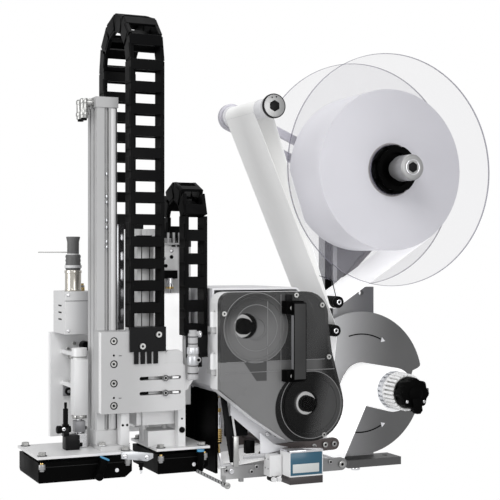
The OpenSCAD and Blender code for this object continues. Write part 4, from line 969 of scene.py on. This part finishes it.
# A black hex in the dancer's socket, as painted shade
rods("dancer_socket_shadow", [on(DANCER, -202.9)], 8.4, 3.6, "black_metal", "dancer", "Y", 0.5, 6)
lathe("dancer_rim", [(16.4, -201.4), (17.8, -201.2), (17.8, -196.6), (16.4, -196.6)], DANCER,
      "black_metal", "dancer", 0.2)
turned("dancer_face", [on(DANCER, -201.8)], [(16, 0), (16.3, 0.5)], "knob_metal", "dancer", "Y", 0.1, 48)
rods("dancer_dots", [(-174, -202.1, 330), (-167, -202.1, 331)], 1.1, 0.6,
     "black_plastic", "dancer", "Y", 0, 12)
lathe("dancer_sleeve", [(14.3, -197), (15.4, -197), (15.4, -186), (14.3, -186)], DANCER, "chrome",
      "dancer_roller", 0.2)
lathe("dancer_band", [(13.8, -195.6), (14.3, -195.4), (14.3, -193.6), (13.8, -193.4)], DANCER, "nickel",
      "dancer_roller", 0.1)
turned("guide_caps", [(x, -171.6, z) for x, z in GUIDES], [(7.4, 0), (8.8, 0.9), (8.8, 5.0)],
       "black_plastic", BASE, "Y")
bm = bmesh.new()
wire = ((-80, 71.8), (-66, 68.4), (-58, 63.6))
add_prism(bm, [(x, z + 0.5) for x, z in wire] + [(x, z - 0.5) for x, z in wire[::-1]], -168, -167)
add_prism(bm, [(-58.6, 63.2), (-57.6, 64), (-51.6, 41), (-52.6, 41)], -168, -167)
piece("web_sensor_wire", bm, "black_metal", BASE, 0)
tubes("guide_nuts", [(x, -173.0, z) for x, z in GUIDES], 2.4, 4.4, 1.8, "chrome", BASE, "Y", 0.2, 6)
rods("guide_pins", [(x, -172.6, z) for x, z in GUIDES], 2.4, 1.2, "black_metal", BASE, "Y", 0)
blocks("guide_bracket", [((-52, -50, 42), (-40, -10, 47)), ((-46, -50, -2), (-40, -10, 3))],
       "white_metal", BASE, 0.6)


# Rewinder

REWIND = middle("rewind_mandrel")
ARROW_R, LOBE_R, LOBE_H, RIBS = 80, 22.8, 1.5, 26


def around(r, angle):
    return arc(*REWIND, r, angle, angle, 1)[0]


bm = bmesh.new()
outline = arc(*REWIND, 117, 13.5, 353, 96) + [(158, -108), (151, -98), (154, -89), (164, -85), (168, -82)]
add_prism(bm, outline[::-1], -53, -50)
disc = piece("rewind_disc_face", bm, "disc_metal", "rewinder", 0.3)
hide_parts("rewind_disc")
bm = bmesh.new()
for s in (1, -1):
    outline = arc(*REWIND, 79.2, s * 62, s * 106, 14) + arc(*REWIND, 81.2, s * 106, s * 62, 14)
    add_prism(bm, outline if s < 0 else outline[::-1], -53.3, -52.6)
piece("rewind_arrow_lines", bm, "black_plastic", "rewinder", 0)
bm = bmesh.new()
for s in (1, -1):
    cx, cz = around(ARROW_R, s * 61)
    add_prism(bm, [(cx - 1, cz - s * 4), (cx + 7, cz - s * 2.5), (cx + 1, cz + s * 4)][::s], -53.6, -52.7)
piece("rewind_arrowheads", bm, "white_paint", "rewinder", 0)
lobes = [around(LOBE_R + LOBE_H * math.cos(math.radians(8 * a)), a) for a in (7.5 * i for i in range(48))]
plate("rewind_grip", lobes, -221, -198, "deep_black", "rewinder", 0.8)
turned("rewind_lock", [on(REWIND, -223.5)], [(8, 0), (12, 1.4), (12, 5)], "deep_black", "rewinder", "Y")
turned("rewind_neck", [on(REWIND, -199)], [(19, 0), (21, 24.4)], "deep_black", "rewinder", "Y")
plate("rewind_lever", [(47, -112), (63, -112), (66, -131), (62, -136), (55, -136), (51, -131)],
      -224.5, -214, "deep_black", "rewinder", 1.0)
screws("rewind_screws", [(40, -221, -117), (70, -221, -118)], 2.4, 1.0, "steel", "rewinder")
block("rewind_tab", (76, -214, -111), (83, -204, -99), "grey_plastic", "rewinder", 0.8)
lathe("mandrel_sleeve", [(22.4, -198), (25.6, -198), (25.6, -174), (22.4, -174)], REWIND,
      "nickel", "rewinder", 0.2)
bm = bmesh.new()
for i in range(RIBS):
    made = add_box(bm, (24.8, -198.6, -1.7), (28.2, -173.8, 1.7))
    turn = Matrix.Translation(Vector(on(REWIND, 0)) * MM) @ Matrix.Rotation(i * math.tau / RIBS, 4, "Y")
    bmesh.ops.transform(bm, verts=made, matrix=turn)
# The ribs glow a little, as painted light
piece("mandrel_ribs", bm, "glow_soft", "rewinder", 0.3, 1)
tubes("mandrel_rim", [on(REWIND, -174.2)], 22.5, 29.4, 2.4, "white_metal", "rewinder", "Y")


# Foot and reel post

turned("foot_bolt_head", [(58, -30, -251)], [(6.4, 0), (7.6, 0.8), (7.6, 4)], "chrome", BASE, "Z")
block("post_dark_front", (-0.6, -34.8, -22), (11.2, -33.4, 225), "deep_black", BASE, 0.2)
plate("post_gusset", [(21, 58), (40, 74), (62, 98), (96, 128), (21, 128)], -32, -12, "dark_grey", BASE, 0.8)
plate("gusset_edge", [(38, 70), (42, 66), (100, 122), (96, 128)], -33.2, -12, "bronze", BASE, 0.5)
tubes("post_bearing", [on(REEL, -41.4)], 11, 20, 4, "nickel", BASE, "Y")
